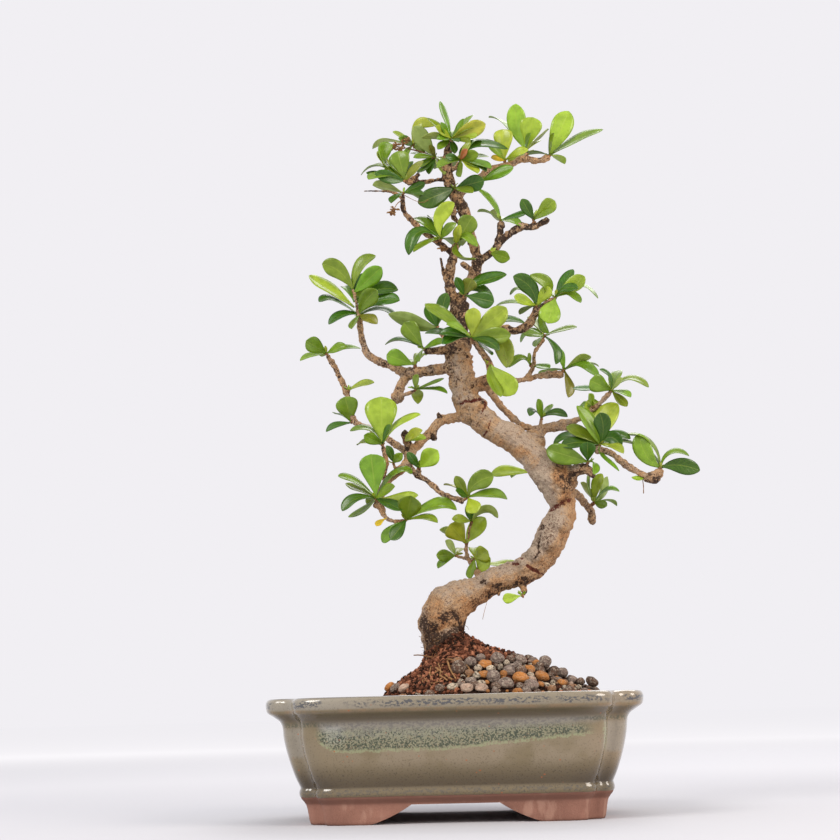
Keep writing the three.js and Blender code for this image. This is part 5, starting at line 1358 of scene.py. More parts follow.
    def _pebbles(self, rng: Random) -> Heap:
        """The pebbles that are seen, and others between and behind them."""
        heap, fine, plain = Heap(), Shape.ball(3), Shape.ball(2)
        taken: list[tuple[float, float, float]] = []
        for x, z, wide, high, letter in rows_of(self.seen):
            at = self.mound.seen(x, z)
            size = (wide, wide * 0.92, high * 0.9)
            self._pebble(heap, fine, at, size, letter, rng.uniform(0, 3.1))
            taken.append((at.x, at.y, wide))
        wanted = self.filled + len(taken)
        for _ in range(40 * self.filled):
            if len(taken) >= wanted:
                break
            bearing, d = rng.uniform(-2.3, 1.5), rng.uniform(0.4, 1.06)
            at = self.mound.place(bearing, d)
            wide = rng.choice((1.3, 1.8, 2.4, 3.2, 4.2)) * rng.uniform(0.9, 1.15)
            if abs(at.x) > 101 or abs(at.y) > 72 or self.bare(at):
                continue
            if any(math.hypot(at.x - x, at.y - y) < (wide + other) * 0.72 for x, y, other in taken):
                continue
            size = (wide, wide * rng.uniform(0.75, 1), wide * rng.uniform(0.7, 0.95))
            kind = rng.choice("gggbbot" if wide > 2 else "mmtbop")
            self._pebble(heap, plain, at, size, kind, rng.uniform(0, 3.1))
            taken.append((at.x, at.y, wide))
        return heap

    def build(self, earth: Material, clay: Material) -> None:
        """Sets down the soil, its crumbs and the pebbles."""
        rng = Random(SEED)
        soil = self.mound.mesh()
        # Soil among the pebbles is darker, as painted shade in the gaps between them.
        open_soil = [self.bare(v.co) or v.co.z < self.mound.edge + 2 for v in soil.vertices]
        shades = [(0.4 if bare else 0.12) + 0.4 * noise.noise(v.co / 7) for v, bare in zip(soil.vertices, open_soil)]
        carry(soil, "crumb_shade", np.array(shades))
        set_down("soil_mound", soil, [earth], ["soil"])
        set_down("soil_crumbs", self._crumbs(rng).mesh("soil_crumbs"), [earth], smooth=False)
        set_down("flat_soil_crumbs", self._scattered(rng).mesh("flat_crumbs"), [earth], smooth=False)
        set_down("clay_pebbles", self._pebbles(rng).mesh("clay_pebbles"), [clay], ["pebbles"])


@dataclass(frozen=True)
class Stroke:
    """A mark on the bark as seen from the front.

    reach is half its width, relief is how far it stands out of the bark, or is sunk, and line has x and z.
    """

    mark: Mark
    reach: float
    strength: float
    relief: float
    line: np.ndarray

    @classmethod
    def read(cls, row: Row) -> "Stroke":
        """A stroke from its row in the table."""
        return cls(Mark[row[0]], *row[1:4], np.array(points_of(row[4:], 2)))

    def cover(self, seen: np.ndarray) -> np.ndarray:
        """How much of the mark lies on each place seen at x, z."""
        line = self.line
        nearest = np.full(len(seen), 1e9)
        if len(line) == 1:
            nearest = np.hypot(*(seen - line[0]).T)
        for a, b in zip(line, line[1:]):
            run = b - a
            t = np.clip((seen - a) @ run / max(run @ run, 1e-9), 0, 1)
            nearest = np.minimum(nearest, np.hypot(*(seen - a - t[:, None] * run).T))
        return self.strength * smooth_step(nearest, self.reach, self.reach * 0.35)


@dataclass
class Wood:
    """The trunk, its surface roots and its branches, grown together."""

    # How far apart the samples along a limb's middle are.
    step: float = 0.9
    voxel: float = 0.82
    # The share of the remeshed skin's triangles that is kept.
    kept: float = 0.68
    # Strokes lie on the trunk and on the limbs whose number is below this.
    marked: int = 9
    # How far a limb's grain starts from that of the limb before it.
    grain_gap: float = 57.0
    plain_look: tuple[float, float] = (0.5, 0.2)
    # Swellings that the limbs' own radii leave out: x, z, depth and radius.
    swellings: str = """
        -15 127 -5 8.5; -3 121 -9 9.5; -13 140 -6 8.5; 2 143 -7 8; -15 133 3 8.5; -1 112 -8 10; -12 113 -5 9;
        4 106 -9 8; -14 104 -8 8; 11 150 -6 7; 26 161 -4 6.2; 50 171 -1 6.5; 59 178 -2 6.5; 46 165 9 6; 69 187 -2 8;
        77 199 -1 7.5; 72 196 9 7; 80 225 -5 7; 85 231 -3 5; 83 238 -3 4.6; 79 220 -4 6; 70 232 -6 6.5; 86 228 3 4.6;
        62 247 -4 6.5; 42 265 -5 6.5; 27 273 -8 5; 14 287 -8 6; 19 281 -7 6; 11 299 -8 5.2; 9 311 -8 5.2; 13 318 -6 5;
        5 324 -7 5; 12 331 -5 5.4; 6 333 -2 5.2; 20 290 -6 4.6; 0 277 -7 3.6; -29 252 -17 4; -46 231 -27 3.4;
        -29 311 7 4.6; -36 294 2 4.6; 66 267 11 3.8; 98 277 2 2.8; 106 251 -9 3.2; 143 230 -7 4.6; 4 374 -5 4.3;
        23 382 -1 4.1; 24 393 -1 4.2; 16 419 -2 3.6; 8 430 -4 2.8; 41 409 -10 3.6; 57 418 -17 3.4; 62 469 12 3.2;
        45 341 -11 3.6; 61 346 -12 3.4; 73 307 56 3.4; 99 203 48 3.4; -73 299 36 2.8; -83 322 40 2.6; 12 345 -5 5;
        8 357 -5 4.8; 60 262 6 6; 64 265 9 5; 62 258 4 7; -17 132 -3 8.5; 25 288 -6 3
    """
    # Marks from the front: kind, reach, strength, relief, then the x and z of each point.
    # PALE strokes are pale bark in part, and in part painted light where the trunk's bend falls in shade.
    strokes: str = """
        SCAR 2 0.95 -0.8 3 284 7 287 12 289.8 18 290 24 291.5; DARK 1.1 1.2 -0.6 4 285 12 289.6 23 291;
        DARK 3 0.45 -0.6 3 309 6 302; DARK 5 0.6 -0.3 5 268 10 275; DARK 5 0.5 -0.2 -19 141 -22 132 -20 122;
        WARM 9 0.35 0 -14 146 -12 132; PALE 9 0.9 0 56 178 66 190 73 203; PALE 11 1 0 55 243 64 231 67 218;
        SCAR 1.1 0.8 -0.7 25 264 28.5 269 30 275; SCAR 2.4 0.72 -1 64 209 70 209.6 75 212 79 214 85 216;
        DARK 1.2 0.8 -0.6 65 209 70 209.2 75 211.4 80 214; SCAR 1.6 0.9 -0.5 46 179 49 176;
        SCAR 1.8 0.8 -0.3 42.5 172.5 45.5 172; SCAR 2 0.95 -0.6 53 170.5 56 168 59 166.5;
        SCAR 1.5 0.7 -0.4 59 166 64 163.5; DARK 1.2 1.1 -1.2 62.5 193 60.5 186 61.5 180 58 175;
        DARK 3 1 -0.9 61 197 64 198; DARK 7 0.45 -0.3 70 201 69 192 66 185; DARK 3.4 1.1 -0.8 21 160;
        DARK 5.5 0.4 -0.4 16 146 24 151; DARK 5 0.8 -0.6 0 138 -8 136; DARK 6 0.6 -0.5 -17 128 -22 134;
        DARK 5 1 0 8 128 -4 122; DARK 9 1 0 -14 116 0 118; DARK 10 0.9 0 -12 104 6 104;
        PALE 2.2 0.7 0 -21 108 -22 118 -23.5 126; DARK 7 0.16 -0.1 82 219 85 229; PALE 8 0.7 0 70 226 73 221;
        DARK 5 0.12 -0.2 88 236 94 237; PALE 4.5 0.9 0 86 240 89 240; WARM 9 0.3 0 78 218 78 236;
        DARK 2 1.3 0.6 25 288; SCAR 1.1 0.9 -0.5 24 281 27 286 25 290; DARK 4.5 0.8 -0.5 10 283;
        DARK 1.8 1 -0.8 18 300; DARK 1.6 1 -0.7 8 306 11 304; DARK 1.7 1 -0.8 13 314; DARK 1.6 0.9 -0.7 4 318;
        DARK 1.9 0.9 -0.7 12 325 15 322; DARK 1.5 0.9 -0.6 5 329; DARK 2 0.8 -0.6 15 293; PALE 9 0.5 0 11 296 10 318;
        WARM 7 0.2 0 27 303 34 306; PALE 9 0.5 0 40 268 58 253 66 243; WARM 7 0.35 0 60 243 50 252
    """
    # How warm and how dark each limb's bark is, by the start of its name.
    limb_looks: str = """
        root 0.5 0.7; neck_stub 0.5 0.2; bend_knob 0.45 0.55; under 0.6 0.7; right_low_knob 0.4 0.8;
        right_low 0.3 0.28; right_high 0.25 0.25; right_slender 0.35 0.15; right_top 0.4 0.35; junction 0.3 0.2;
        left_cut 0.3 0.4; left_dead 0.5 0.8; left_low_dead 0.3 1.2; left_low_blob 0.3 1.2; left_low_nub 0.4 1.1;
        left_low_riser 0.5 0.5; left_low 0.4 0.15; left 0.3 0.45; trunk_top 0.4 0.7; far 0.4 0.45;
        front_low 0.35 0.55; front_shoot 0.5 0.5; middle_dead 0.4 1.1; middle 0.4 0.7; upper 0.5 0.85; crown 0.5 0.85;
        black 0.3 1; centre 0.4 0.7; rear 0.4 0.35
    """
    runs: list[np.ndarray] = field(default_factory=list)
    looks: list[tuple[float, float]] = field(default_factory=list)
    skin: BVHTree | None = None

    def __post_init__(self) -> None:
        """Samples the middle of every limb."""
        looks = rows_of(self.limb_looks)
        for name, text in {"trunk": TRUNK, **LIMBS}.items():
            placed = [(*sight(x, z, y), radius) for x, z, y, radius in rows_of(text)]
            self.runs.append(smooth_run(placed, self.step))
            self.looks.append(next((row[1:] for row in looks if name.startswith(row[0])), self.plain_look))

    def _tubes(self) -> Mesh:
        """A round tube along each limb, as a curve with its own radius at each sample."""
        curve = bpy.data.curves.new("limbs", "CURVE")
        curve.dimensions = "3D"
        curve.bevel_depth = 1.0
        curve.bevel_resolution = 4
        curve.use_fill_caps = True
        for run in self.runs:
            spline = curve.splines.new("POLY")
            spline.points.add(len(run) - 1)
            spline.points.foreach_set("co", np.hstack([run[:, :3], np.ones((len(run), 1))]).ravel())
            thin = min(1.0, 4.0 / run[:, 3].mean())
            knobs = [
                1 + 0.1 * noise.noise(Vector((s * 0.2, run[0][0], run[0][2])))
                + 0.2 * thin * noise.noise(Vector((s * 0.42, run[0][2], run[0][0])))
                for s in range(len(run))
            ]
            spline.points.foreach_set("radius", run[:, 3] * np.array(knobs))
        return with_modifiers(curve)

    def _grown(self) -> Mesh:
        """Tubes, swellings and rounded ends, grown together into one even skin."""
        bm = bmesh.new()
        bm.from_mesh(self._tubes())
        blobs = Heap()
        ball = Shape.ball(3)
        for x, z, y, radius in rows_of(self.swellings):
            blobs.add(ball.corners * radius + np.array(sight(x, z, y)), ball.faces)
        for run in self.runs:
            for end in (run[0], run[-1]):
                blobs.add(ball.corners * end[3] * 1.04 + end[:3], ball.faces)
        bm.from_mesh(blobs.mesh("swellings"))
        joined = as_mesh(bm, "wood")
        remesh = {"mode": "VOXEL", "voxel_size": self.voxel, "adaptivity": 0.0}
        smooth, thin = {"factor": 0.5, "iterations": 5}, {"ratio": self.kept}
        return with_modifiers(joined, ("REMESH", remesh), ("SMOOTH", smooth), ("DECIMATE", thin))

    def _local(self, places: np.ndarray) -> tuple[np.ndarray, np.ndarray, np.ndarray]:
        """Where each place lies about its limb.

        Args:
            places: Places on the skin, one a row.

        Returns:
            Coordinates across, across and along the limb, the limb's radius there, and its number.
        """
        samples, across, length, limb = [], [], [], []
        for number, run in enumerate(self.runs):
            centre = run[:, :3]
            tangent = unit(np.gradient(centre, axis=0))
            first = np.cross(tangent[0], (0.0, 1.0, 0.0))
            travelled = np.concatenate([[0], np.cumsum(np.linalg.norm(np.diff(centre, axis=0), axis=1))])
            for k, point in enumerate(run):
                first = unit(first - tangent[k] * (first @ tangent[k]))
                samples.append(point)
                across.append((first, np.cross(tangent[k], first), tangent[k]))
                length.append(travelled[k] + number * self.grain_gap)
                limb.append(number)
        samples, across = np.array(samples), np.array(across)
        tree = kdtree.KDTree(len(samples))
        for k, point in enumerate(samples):
            tree.insert(point[:3], k)
        tree.balance()
        nearest = np.empty(len(places), int)
        for i, place in enumerate(places):
            nearest[i] = min(tree.find_n(place, 5), key=lambda hit: hit[2] - samples[hit[1]][3])[1]
        offset = places - samples[nearest, :3]
        axes = across[nearest]
        local = np.einsum("ij,ikj->ik", offset, axes)
        local[:, 2] += np.array(length)[nearest]
        return local, samples[nearest, 3], np.array(limb)[nearest]

    @staticmethod
    def _roughness(seen: np.ndarray, limb: np.ndarray) -> np.ndarray:
        """How rough the bark is at each place seen: smoothest up the slope, gnarled at the neck and the bend."""
        x, z = seen.T
        rough = 1.05 - 0.45 * smooth_step(z, 226, 240) * smooth_step(z, 276, 266)
        rough += 0.95 * smooth_step(z, 272, 292) + 0.9 * smooth_step(np.hypot(x - 89, z - 231), 19, 6)
        return np.where(limb == 0, rough, 1.25)

    @staticmethod
    def _relief(places: np.ndarray, local: np.ndarray, radius: np.ndarray, rough: np.ndarray) -> np.ndarray:
        """How far the bark stands out at each place, how deep in a pit it is, and how knobbly it is there."""
        rows = np.empty((3, len(places)))
        out, pits, knobbly = rows
        for i, (p, q) in enumerate(zip(places, local)):
            place = Vector(p)
            knobs = noise.fractal(place / 6.5, 0.9, 2.1, 3)
            ridges = noise.noise(Vector((q[0] * 0.75, q[1] * 0.75, q[2] * 0.11)))
            cracks = abs(noise.noise(Vector((q[0] * 0.34, q[1] * 0.34, q[2] * 0.09)) + Vector((9, 3, 5))))
            spread = noise.voronoi(place / (3.6 if rough[i] > 1.3 else 5.2))[0]
            pit = max(0.0, 1 - spread[0] / 0.24) * (noise.noise(place / 15) > -0.05)
            size = min(radius[i], 11) / 11
            lumps = noise.noise(place / 2.4) + 0.5 * noise.noise(place / 1.2)
            knobbly[i] = (knobs + 0.5 * lumps) * rough[i]
            out[i] = (knobs * (0.3 + 0.6 * size) + lumps * (0.42 - 0.08 * size)) * rough[i]
            out[i] += ridges * (0.15 + 0.55 * size) - max(0.0, 0.1 - cracks) * 4.5 * (0.3 + size)
            out[i] -= pit * (0.25 + 0.75 * size) * rough[i]
            pits[i] = pit
        return rows

    def mesh(self) -> Mesh:
        """The wood's mesh, with bark_grain and bark_marks."""
        mesh = self._grown()
        count = len(mesh.vertices)
        places, normals = np.empty(count * 3), np.empty(count * 3)
        mesh.vertices.foreach_get("co", places)
        mesh.vertex_normals.foreach_get("vector", normals)
        places, normals = places.reshape(-1, 3), normals.reshape(-1, 3)
        local, radius, limb = self._local(places)
        seen = read_at(places)
        out, pits, knobbly = self._relief(places, local, radius, self._roughness(seen, limb))
        facing = smooth_step(np.einsum("ij,ij->i", unit(np.array(EYE) - places), normals), -0.05, 0.3)
        looks = np.array(self.looks)[limb]
        marks = self._trunk_marks(seen, normals, limb, looks, knobbly)
        # Painted shade in the pits of the trunk and the thicker limbs.
        marks[:, 1] = np.maximum(marks[:, 1], pits * 0.65 * (radius > 4))
        for stroke in (Stroke.read(row) for row in rows_of(self.strokes)):
            cover = stroke.cover(seen) * facing * (limb < self.marked)
            out += cover * stroke.relief
            # PALE strokes, pale bark in part and painted light in part, take the marks away and lighten the bark.
            if stroke.mark is Mark.PALE:
                marks *= 1 - 0.75 * cover[:, None]
                marks[:, 0] -= 0.2 * cover
            else:
                marks[:, stroke.mark.value] += cover
        places += normals * out[:, None]
        mesh.vertices.foreach_set("co", places.ravel())
        mesh.update()
        carry(mesh, "bark_grain", local)
        carry(mesh, "bark_marks", np.clip(marks, (-0.5, 0, 0), 1.3))
        return mesh

    @staticmethod
    def _trunk_marks(
        seen: np.ndarray, normals: np.ndarray, limb: np.ndarray, looks: np.ndarray, knobbly: np.ndarray
    ) -> np.ndarray:
        """How warm, dark and scarred the bark is before its strokes, with painted shade and light: the trunk is warmer
        and darker on its sides that face down and to the right and in its hollows, and the limbs are darker in their
        hollows and paler on their knobs.

        Args:
            seen: Where each place is read, as x and z.
            normals: The direction that the bark faces there.
            limb: The limb's number, 0 on the trunk.
            looks: How warm and dark that limb is.
            knobbly: How far the bark's knobs stand out there.

        Returns:
            A row of warm, dark and scar for each place.
        """
        z = seen[:, 1] + 11 * knobbly
        # Painted shade: how far the bark faces down and to the right, away from the light.
        under = 0.5 - 0.5 * (normals[:, 2] * 0.75 - normals[:, 0] * 0.55)
        warm = 0.06 + 0.5 * smooth_step(under, 0.3, 0.85)
        warm += 0.2 * smooth_step(z, 282, 300) + 0.15 * smooth_step(z, 165, 150)
        dark = (0.95 - 0.7 * knobbly) * smooth_step(z, 139, 125) * smooth_step(normals[:, 0], -0.95, -0.4)
        dark = np.maximum(dark, 0.7 * smooth_step(z, 112, 100)) + 0.12 * smooth_step(under, 0.6, 1.0)
        # Painted shade in the hollows between the knobs.
        dark += np.maximum(0, -0.25 - knobbly) * 0.6
        trunk = limb == 0
        marks = np.zeros((len(seen), 3))
        # On the limbs, painted shade in the hollows and painted light on the knobs.
        marks[:, 0] = np.where(trunk, warm, looks[:, 0] + 0.15 * knobbly)
        marks[:, 1] = np.where(trunk, dark, looks[:, 1] * (1 - 1.1 * knobbly))
        return marks

    def nearest(self, place: Vector) -> np.ndarray:
        """The sample of the wood's middle that is nearest to a place, with its radius."""
        samples = np.vstack(self.runs)
        gaps = np.linalg.norm(samples[:, :3] - np.array(place), axis=1) - samples[:, 3] * 0.5
        return samples[gaps.argmin()]

    def build(self, bark: Material) -> None:
        """Sets down the wood, and keeps its skin for what clings to it."""
        mesh = self.mesh()
        self.skin = BVHTree.FromPolygons([v.co[:] for v in mesh.vertices], [p.vertices[:] for p in mesh.polygons])
        set_down("trunk_and_branches", mesh, [bark], ["wood"])


@dataclass(frozen=True)
class LeafForm:
    """A leaf's rib as a quadratic Bezier run, the direction that its upper side faces, and its size."""

    start: Vector
    bend: Vector
    tip: Vector
    up: Vector
    width: float
    length: float

    @classmethod
    def seen(cls, hub: Vector, row: Row) -> "LeafForm":
        """A leaf as the spray table gives it.

        Args:
            hub: The middle of its shoot.
            row: The tip's x and z, how much nearer it is than the hub, the width seen, the tone's letter,
                the x and z that it bends through, if any, and those that it starts at if not the hub.

        Returns:
            The leaf's form.
        """
        hub = sight(row[7], row[8], hub.y) if len(row) > 7 else hub
        tip = sight(row[0], row[1], hub.y - row[2])
        along = tip - hub
        length = along.length
        along.normalize()
        view = EYE - hub
        view = (view - along * view.dot(along)).normalized()
        side = along.cross(view)
        if (side.z < 0) if abs(side.z) > 0.15 else (side.x * along.x > 0):
            side.negate()
        wide = abs(row[3]) * (1.06 if abs(row[3]) > 9 else 0.95) + 0.7
        width = max(min(max(0.4 * length, 5.0), 15.0), wide)
        facing = wide / width
        up = view * math.copysign(facing, row[3]) + side * math.sqrt(max(0.0, 1 - facing * facing))
        middle = (hub + tip) / 2
        if len(row) > 5:
            bend = sight(row[5], row[6], hub.y - row[2] / 2) * 2 - middle
        else:
            bend = middle + up * 0.08 * length
        return cls(hub, bend, tip, up, width, length)

    @classmethod
    def behind(cls, hub: Vector, count: int) -> "LeafForm":
        """One of the leaves on the far side of a spray, by its count."""
        turn = (share(count, GOLDEN) - 0.5) * 2.4
        lift = -0.2 + 1.1 * share(count, PLASTIC)
        length = 17 + 10 * share(count, THIRD)
        along = Vector((math.sin(turn), math.cos(turn), math.tan(lift))).normalized()
        up = (Vector((0, 0, 1)) - along * along.z).normalized()
        return cls.bowed(hub, along, up, length, 0.16, 0.42)

    @classmethod
    def bowed(cls, start: Vector, along: Vector, up: Vector, length: float, bow: float, wide: float) -> "LeafForm":
        """A leaf that runs straight away from its start, a little bowed.

        Args:
            start: Where it starts.
            along: The direction of its tip.
            up: The direction that its upper side faces.
            length: Its length.
            bow: How far its middle is lifted, as a share of its length.
            wide: Its width, as a share of its length.

        Returns:
            The leaf's form.
        """
        tip = start + along * length
        bend = (start + tip) / 2 + up * bow * length
        return cls(start, bend, tip, up, wide * length, length)


@dataclass
class Foliage:
    """All the sprays of leaves, each on its short shoot."""

    wood: Wood
    stalk_share: float = 0.04
    # How roundly a leaf closes at its end.
    closing: float = 0.68
    thickness: float = 0.42
    tones: dict[Tone, Colour] = field(default_factory=lambda: {
        Tone.YOUNG: paint(182, 200, 62), Tone.MIDDLE: paint(132, 166, 40), Tone.DEEP: paint(70, 116, 20),
        Tone.PALE_UNDERSIDE: paint(178, 192, 104), Tone.OLIVE: paint(144, 152, 48),
        Tone.YELLOWED: paint(222, 196, 44), Tone.DRY: paint(206, 122, 70),
    })

    def __post_init__(self) -> None:
        """Makes the shapes that every spray repeats."""
        self.blade = Shape.blade(13, 6)
        self.rod = Shape.rod(7, 6)
        self.ball = Shape.ball(2)

    def outline(self, along: np.ndarray, slope: float, blunt: float) -> np.ndarray:
        """The half width of a spoon-shaped leaf, against its greatest.

        Args:
            along: Shares of its length.
            slope: How slowly it widens from its stalk, from 0.7 to 1.1.
            blunt: How blunt its end is, from 2 to 4.

        Returns:
            The half width at each share.
        """
        t = np.clip((along - self.stalk_share) / (1 - self.stalk_share), 0, 1)
        widest = slope / (slope + self.closing * blunt)
        greatest = widest ** (slope / blunt) * (1 - widest) ** self.closing
        return np.maximum(t**slope * np.clip(1 - t**blunt, 0, 1) ** self.closing / greatest, 0.03)

    def leaf(self, form: LeafForm, rng: Random) -> tuple[np.ndarray, np.ndarray]:
        """The corners of one leaf and what they carry as leaf_place.

        Args:
            form: The leaf's form.
            rng: Its own small irregularities.

        Returns:
            Corners, and for each its share along, its side of the rib and 1 on the lower skin.
        """
        t, v, skin = self.blade.corners.T
        u = t[:, None]
        start, bend, tip, up = (np.array(v) for v in (form.start, form.bend, form.tip, form.up))
        rib = (1 - u) ** 2 * start + 2 * u * (1 - u) * bend + u**2 * tip
        run = unit(2 * (1 - u) * (bend - start) + 2 * u * (tip - bend))
        side = unit(np.cross(run, up))
        face = np.cross(side, run)
        full = form.width > 0.5 * form.length
        slope = rng.uniform(0.95, 1.15) if full else rng.uniform(0.72, 1.0)
        half = self.outline(t, slope, rng.uniform(3.6, 5.2) if full else rng.uniform(2.1, 3.4))
        half = np.maximum(half * form.width / 2, 0.45)
        lean = rng.uniform(-0.06, 0.06)
        across = v * half * (1 + lean * np.sign(v))
        wave, phase = rng.uniform(0.0, 0.07), rng.uniform(0, 6.28)
        fold, cup = rng.uniform(0.16, 0.4), rng.uniform(0.05, 0.2)
        lift = fold * np.abs(across) - cup * half * v**2 * 0.5 + wave * half * np.sin(9 * t + phase) * np.abs(v)
        lift -= rng.uniform(-0.1, 0.16) * form.length * np.clip(t - 0.55, 0, 1) ** 2 * 5
        lift -= 0.14 * np.exp(-((v / 0.16) ** 2)) * smooth_step(t, 0.1, 0.3)
        thick = self.thickness + 0.62 * smooth_step(t, 0.2, 0.05) - 0.16 * np.abs(v)
        corners = rib + side * across[:, None] + face * (lift + skin * thick / 2)[:, None]
        place = np.stack([t, v, (skin < 0).astype(float)], 1)
        return corners, place

    def _add_leaf(self, heap: Heap, form: LeafForm, tone: Tone, rng: Random) -> None:
        """Adds a leaf of a tone to a spray."""
        corners, place = self.leaf(form, rng)
        tint = np.array(self.tones[tone]) * np.array((*(rng.uniform(0.86, 1.12) for _ in range(3)), 1))
        tint[:3] *= rng.uniform(0.88, 1.1)
        if tone is Tone.PALE_UNDERSIDE:
            place[:, 2] = 0.6
        blotch = 0.9 if tone is Tone.OLIVE else (0.5 if rng.random() < 0.1 else 0.0)
        count = len(corners)
        heap.add(
            corners, self.blade.faces, 0,
            leaf_place=place, leaf_tint=np.tile(tint, (count, 1)), leaf_blotch=np.full(count, blotch),
            bark_grain=corners, bark_marks=np.zeros((count, 3)),
        )

    def _add_wood(self, heap: Heap, corners: np.ndarray, faces: np.ndarray, marks: np.ndarray) -> None:
        """Adds a woody bit to a spray."""
        count = len(corners)
        heap.add(
            corners, faces, 1,
            leaf_place=np.zeros((count, 3)), leaf_tint=np.zeros((count, 4)), leaf_blotch=np.zeros(count),
            bark_grain=corners, bark_marks=marks,
        )

    def _shoot(self, heap: Heap, hub: Vector, rng: Random) -> None:
        """Adds the short knobbly shoot from the wood to the middle of the leaves."""
        root = self.wood.nearest(hub)
        start = Vector(root[:3])
        thick = min(1.7, root[3] * 0.62)
        run = hub - start
        bow = Vector([rng.uniform(-0.5, 0.5) for _ in range(3)])
        path = [start, start + run * 0.35 + bow, start + run * 0.7 - bow * 0.4, hub, hub + run.normalized() * 0.8]
        radii = [thick * rng.uniform(0.9, 1.15), thick * 0.8, thick * rng.uniform(0.85, 1.1), 1.25, 0.7]
        corners, along = laid_along(self.rod, path, radii)
        marks = np.stack([0.75 + 0.2 * along, 0.55 - 0.45 * along, 0.25 * along], 1)
        self._add_wood(heap, corners, self.rod.faces, marks)
        for _ in range(3):
            at = start + run * rng.uniform(0.3, 1.0) + Vector([rng.uniform(-1, 1) for _ in range(3)])
            corners = self.ball.corners * np.array([rng.uniform(0.6, 1.1) for _ in range(3)]) + np.array(at)
            marks = np.tile((0.9, rng.uniform(0.1, 0.5), 0.2), (len(corners), 1))
            self._add_wood(heap, corners, self.ball.faces, marks)

    def _buds(self, heap: Heap, hub: Vector, rng: Random) -> None:
        """Adds the small bright leaves at the middle of a spray."""
        for _ in range(rng.randint(2, 4)):
            along = Vector((rng.uniform(-1, 1), rng.uniform(-1, 0.6), rng.uniform(0.1, 1.3))).normalized()
            length = rng.uniform(3.0, 6.0)
            up = along.cross(Vector((rng.uniform(-1, 1), rng.uniform(-1, 1), 0.2))).normalized()
            self._add_leaf(heap, LeafForm.bowed(hub, along, up, length, -0.2, 0.4), Tone.YOUNG, rng)

    def spray(self, name: str, order: int) -> Heap:
        """One spray, from its rows in the table.

        Args:
            name: The spray's name.
            order: Its place in the table.

        Returns:
            Its leaves in slot 0 and its woody bits in slot 1.
        """
        rng = Random(SEED + order)
        (x, z, y, back), *rows = rows_of(SPRAYS[name])
        hub = sight(x, z, y)
        heap = Heap()
        self._shoot(heap, hub, rng)
        for row in rows:
            self._add_leaf(heap, LeafForm.seen(hub, row), Tone(row[4]), rng)
        for i in range(int(back)):
            tone = rng.choice((Tone.MIDDLE, Tone.DEEP, Tone.MIDDLE, Tone.YOUNG))
            self._add_leaf(heap, LeafForm.behind(hub, 3 * order + i + 1), tone, rng)
        self._buds(heap, hub, rng)
        return heap

    def build(self, leaf: Material, bark: Material) -> None:
        """Sets down every spray."""
        for order, name in enumerate(SPRAYS):
            mesh = self.spray(name, order).mesh("spray_" + name)
            set_down("spray_" + name, mesh, [leaf, bark], ["leaves_" + name])


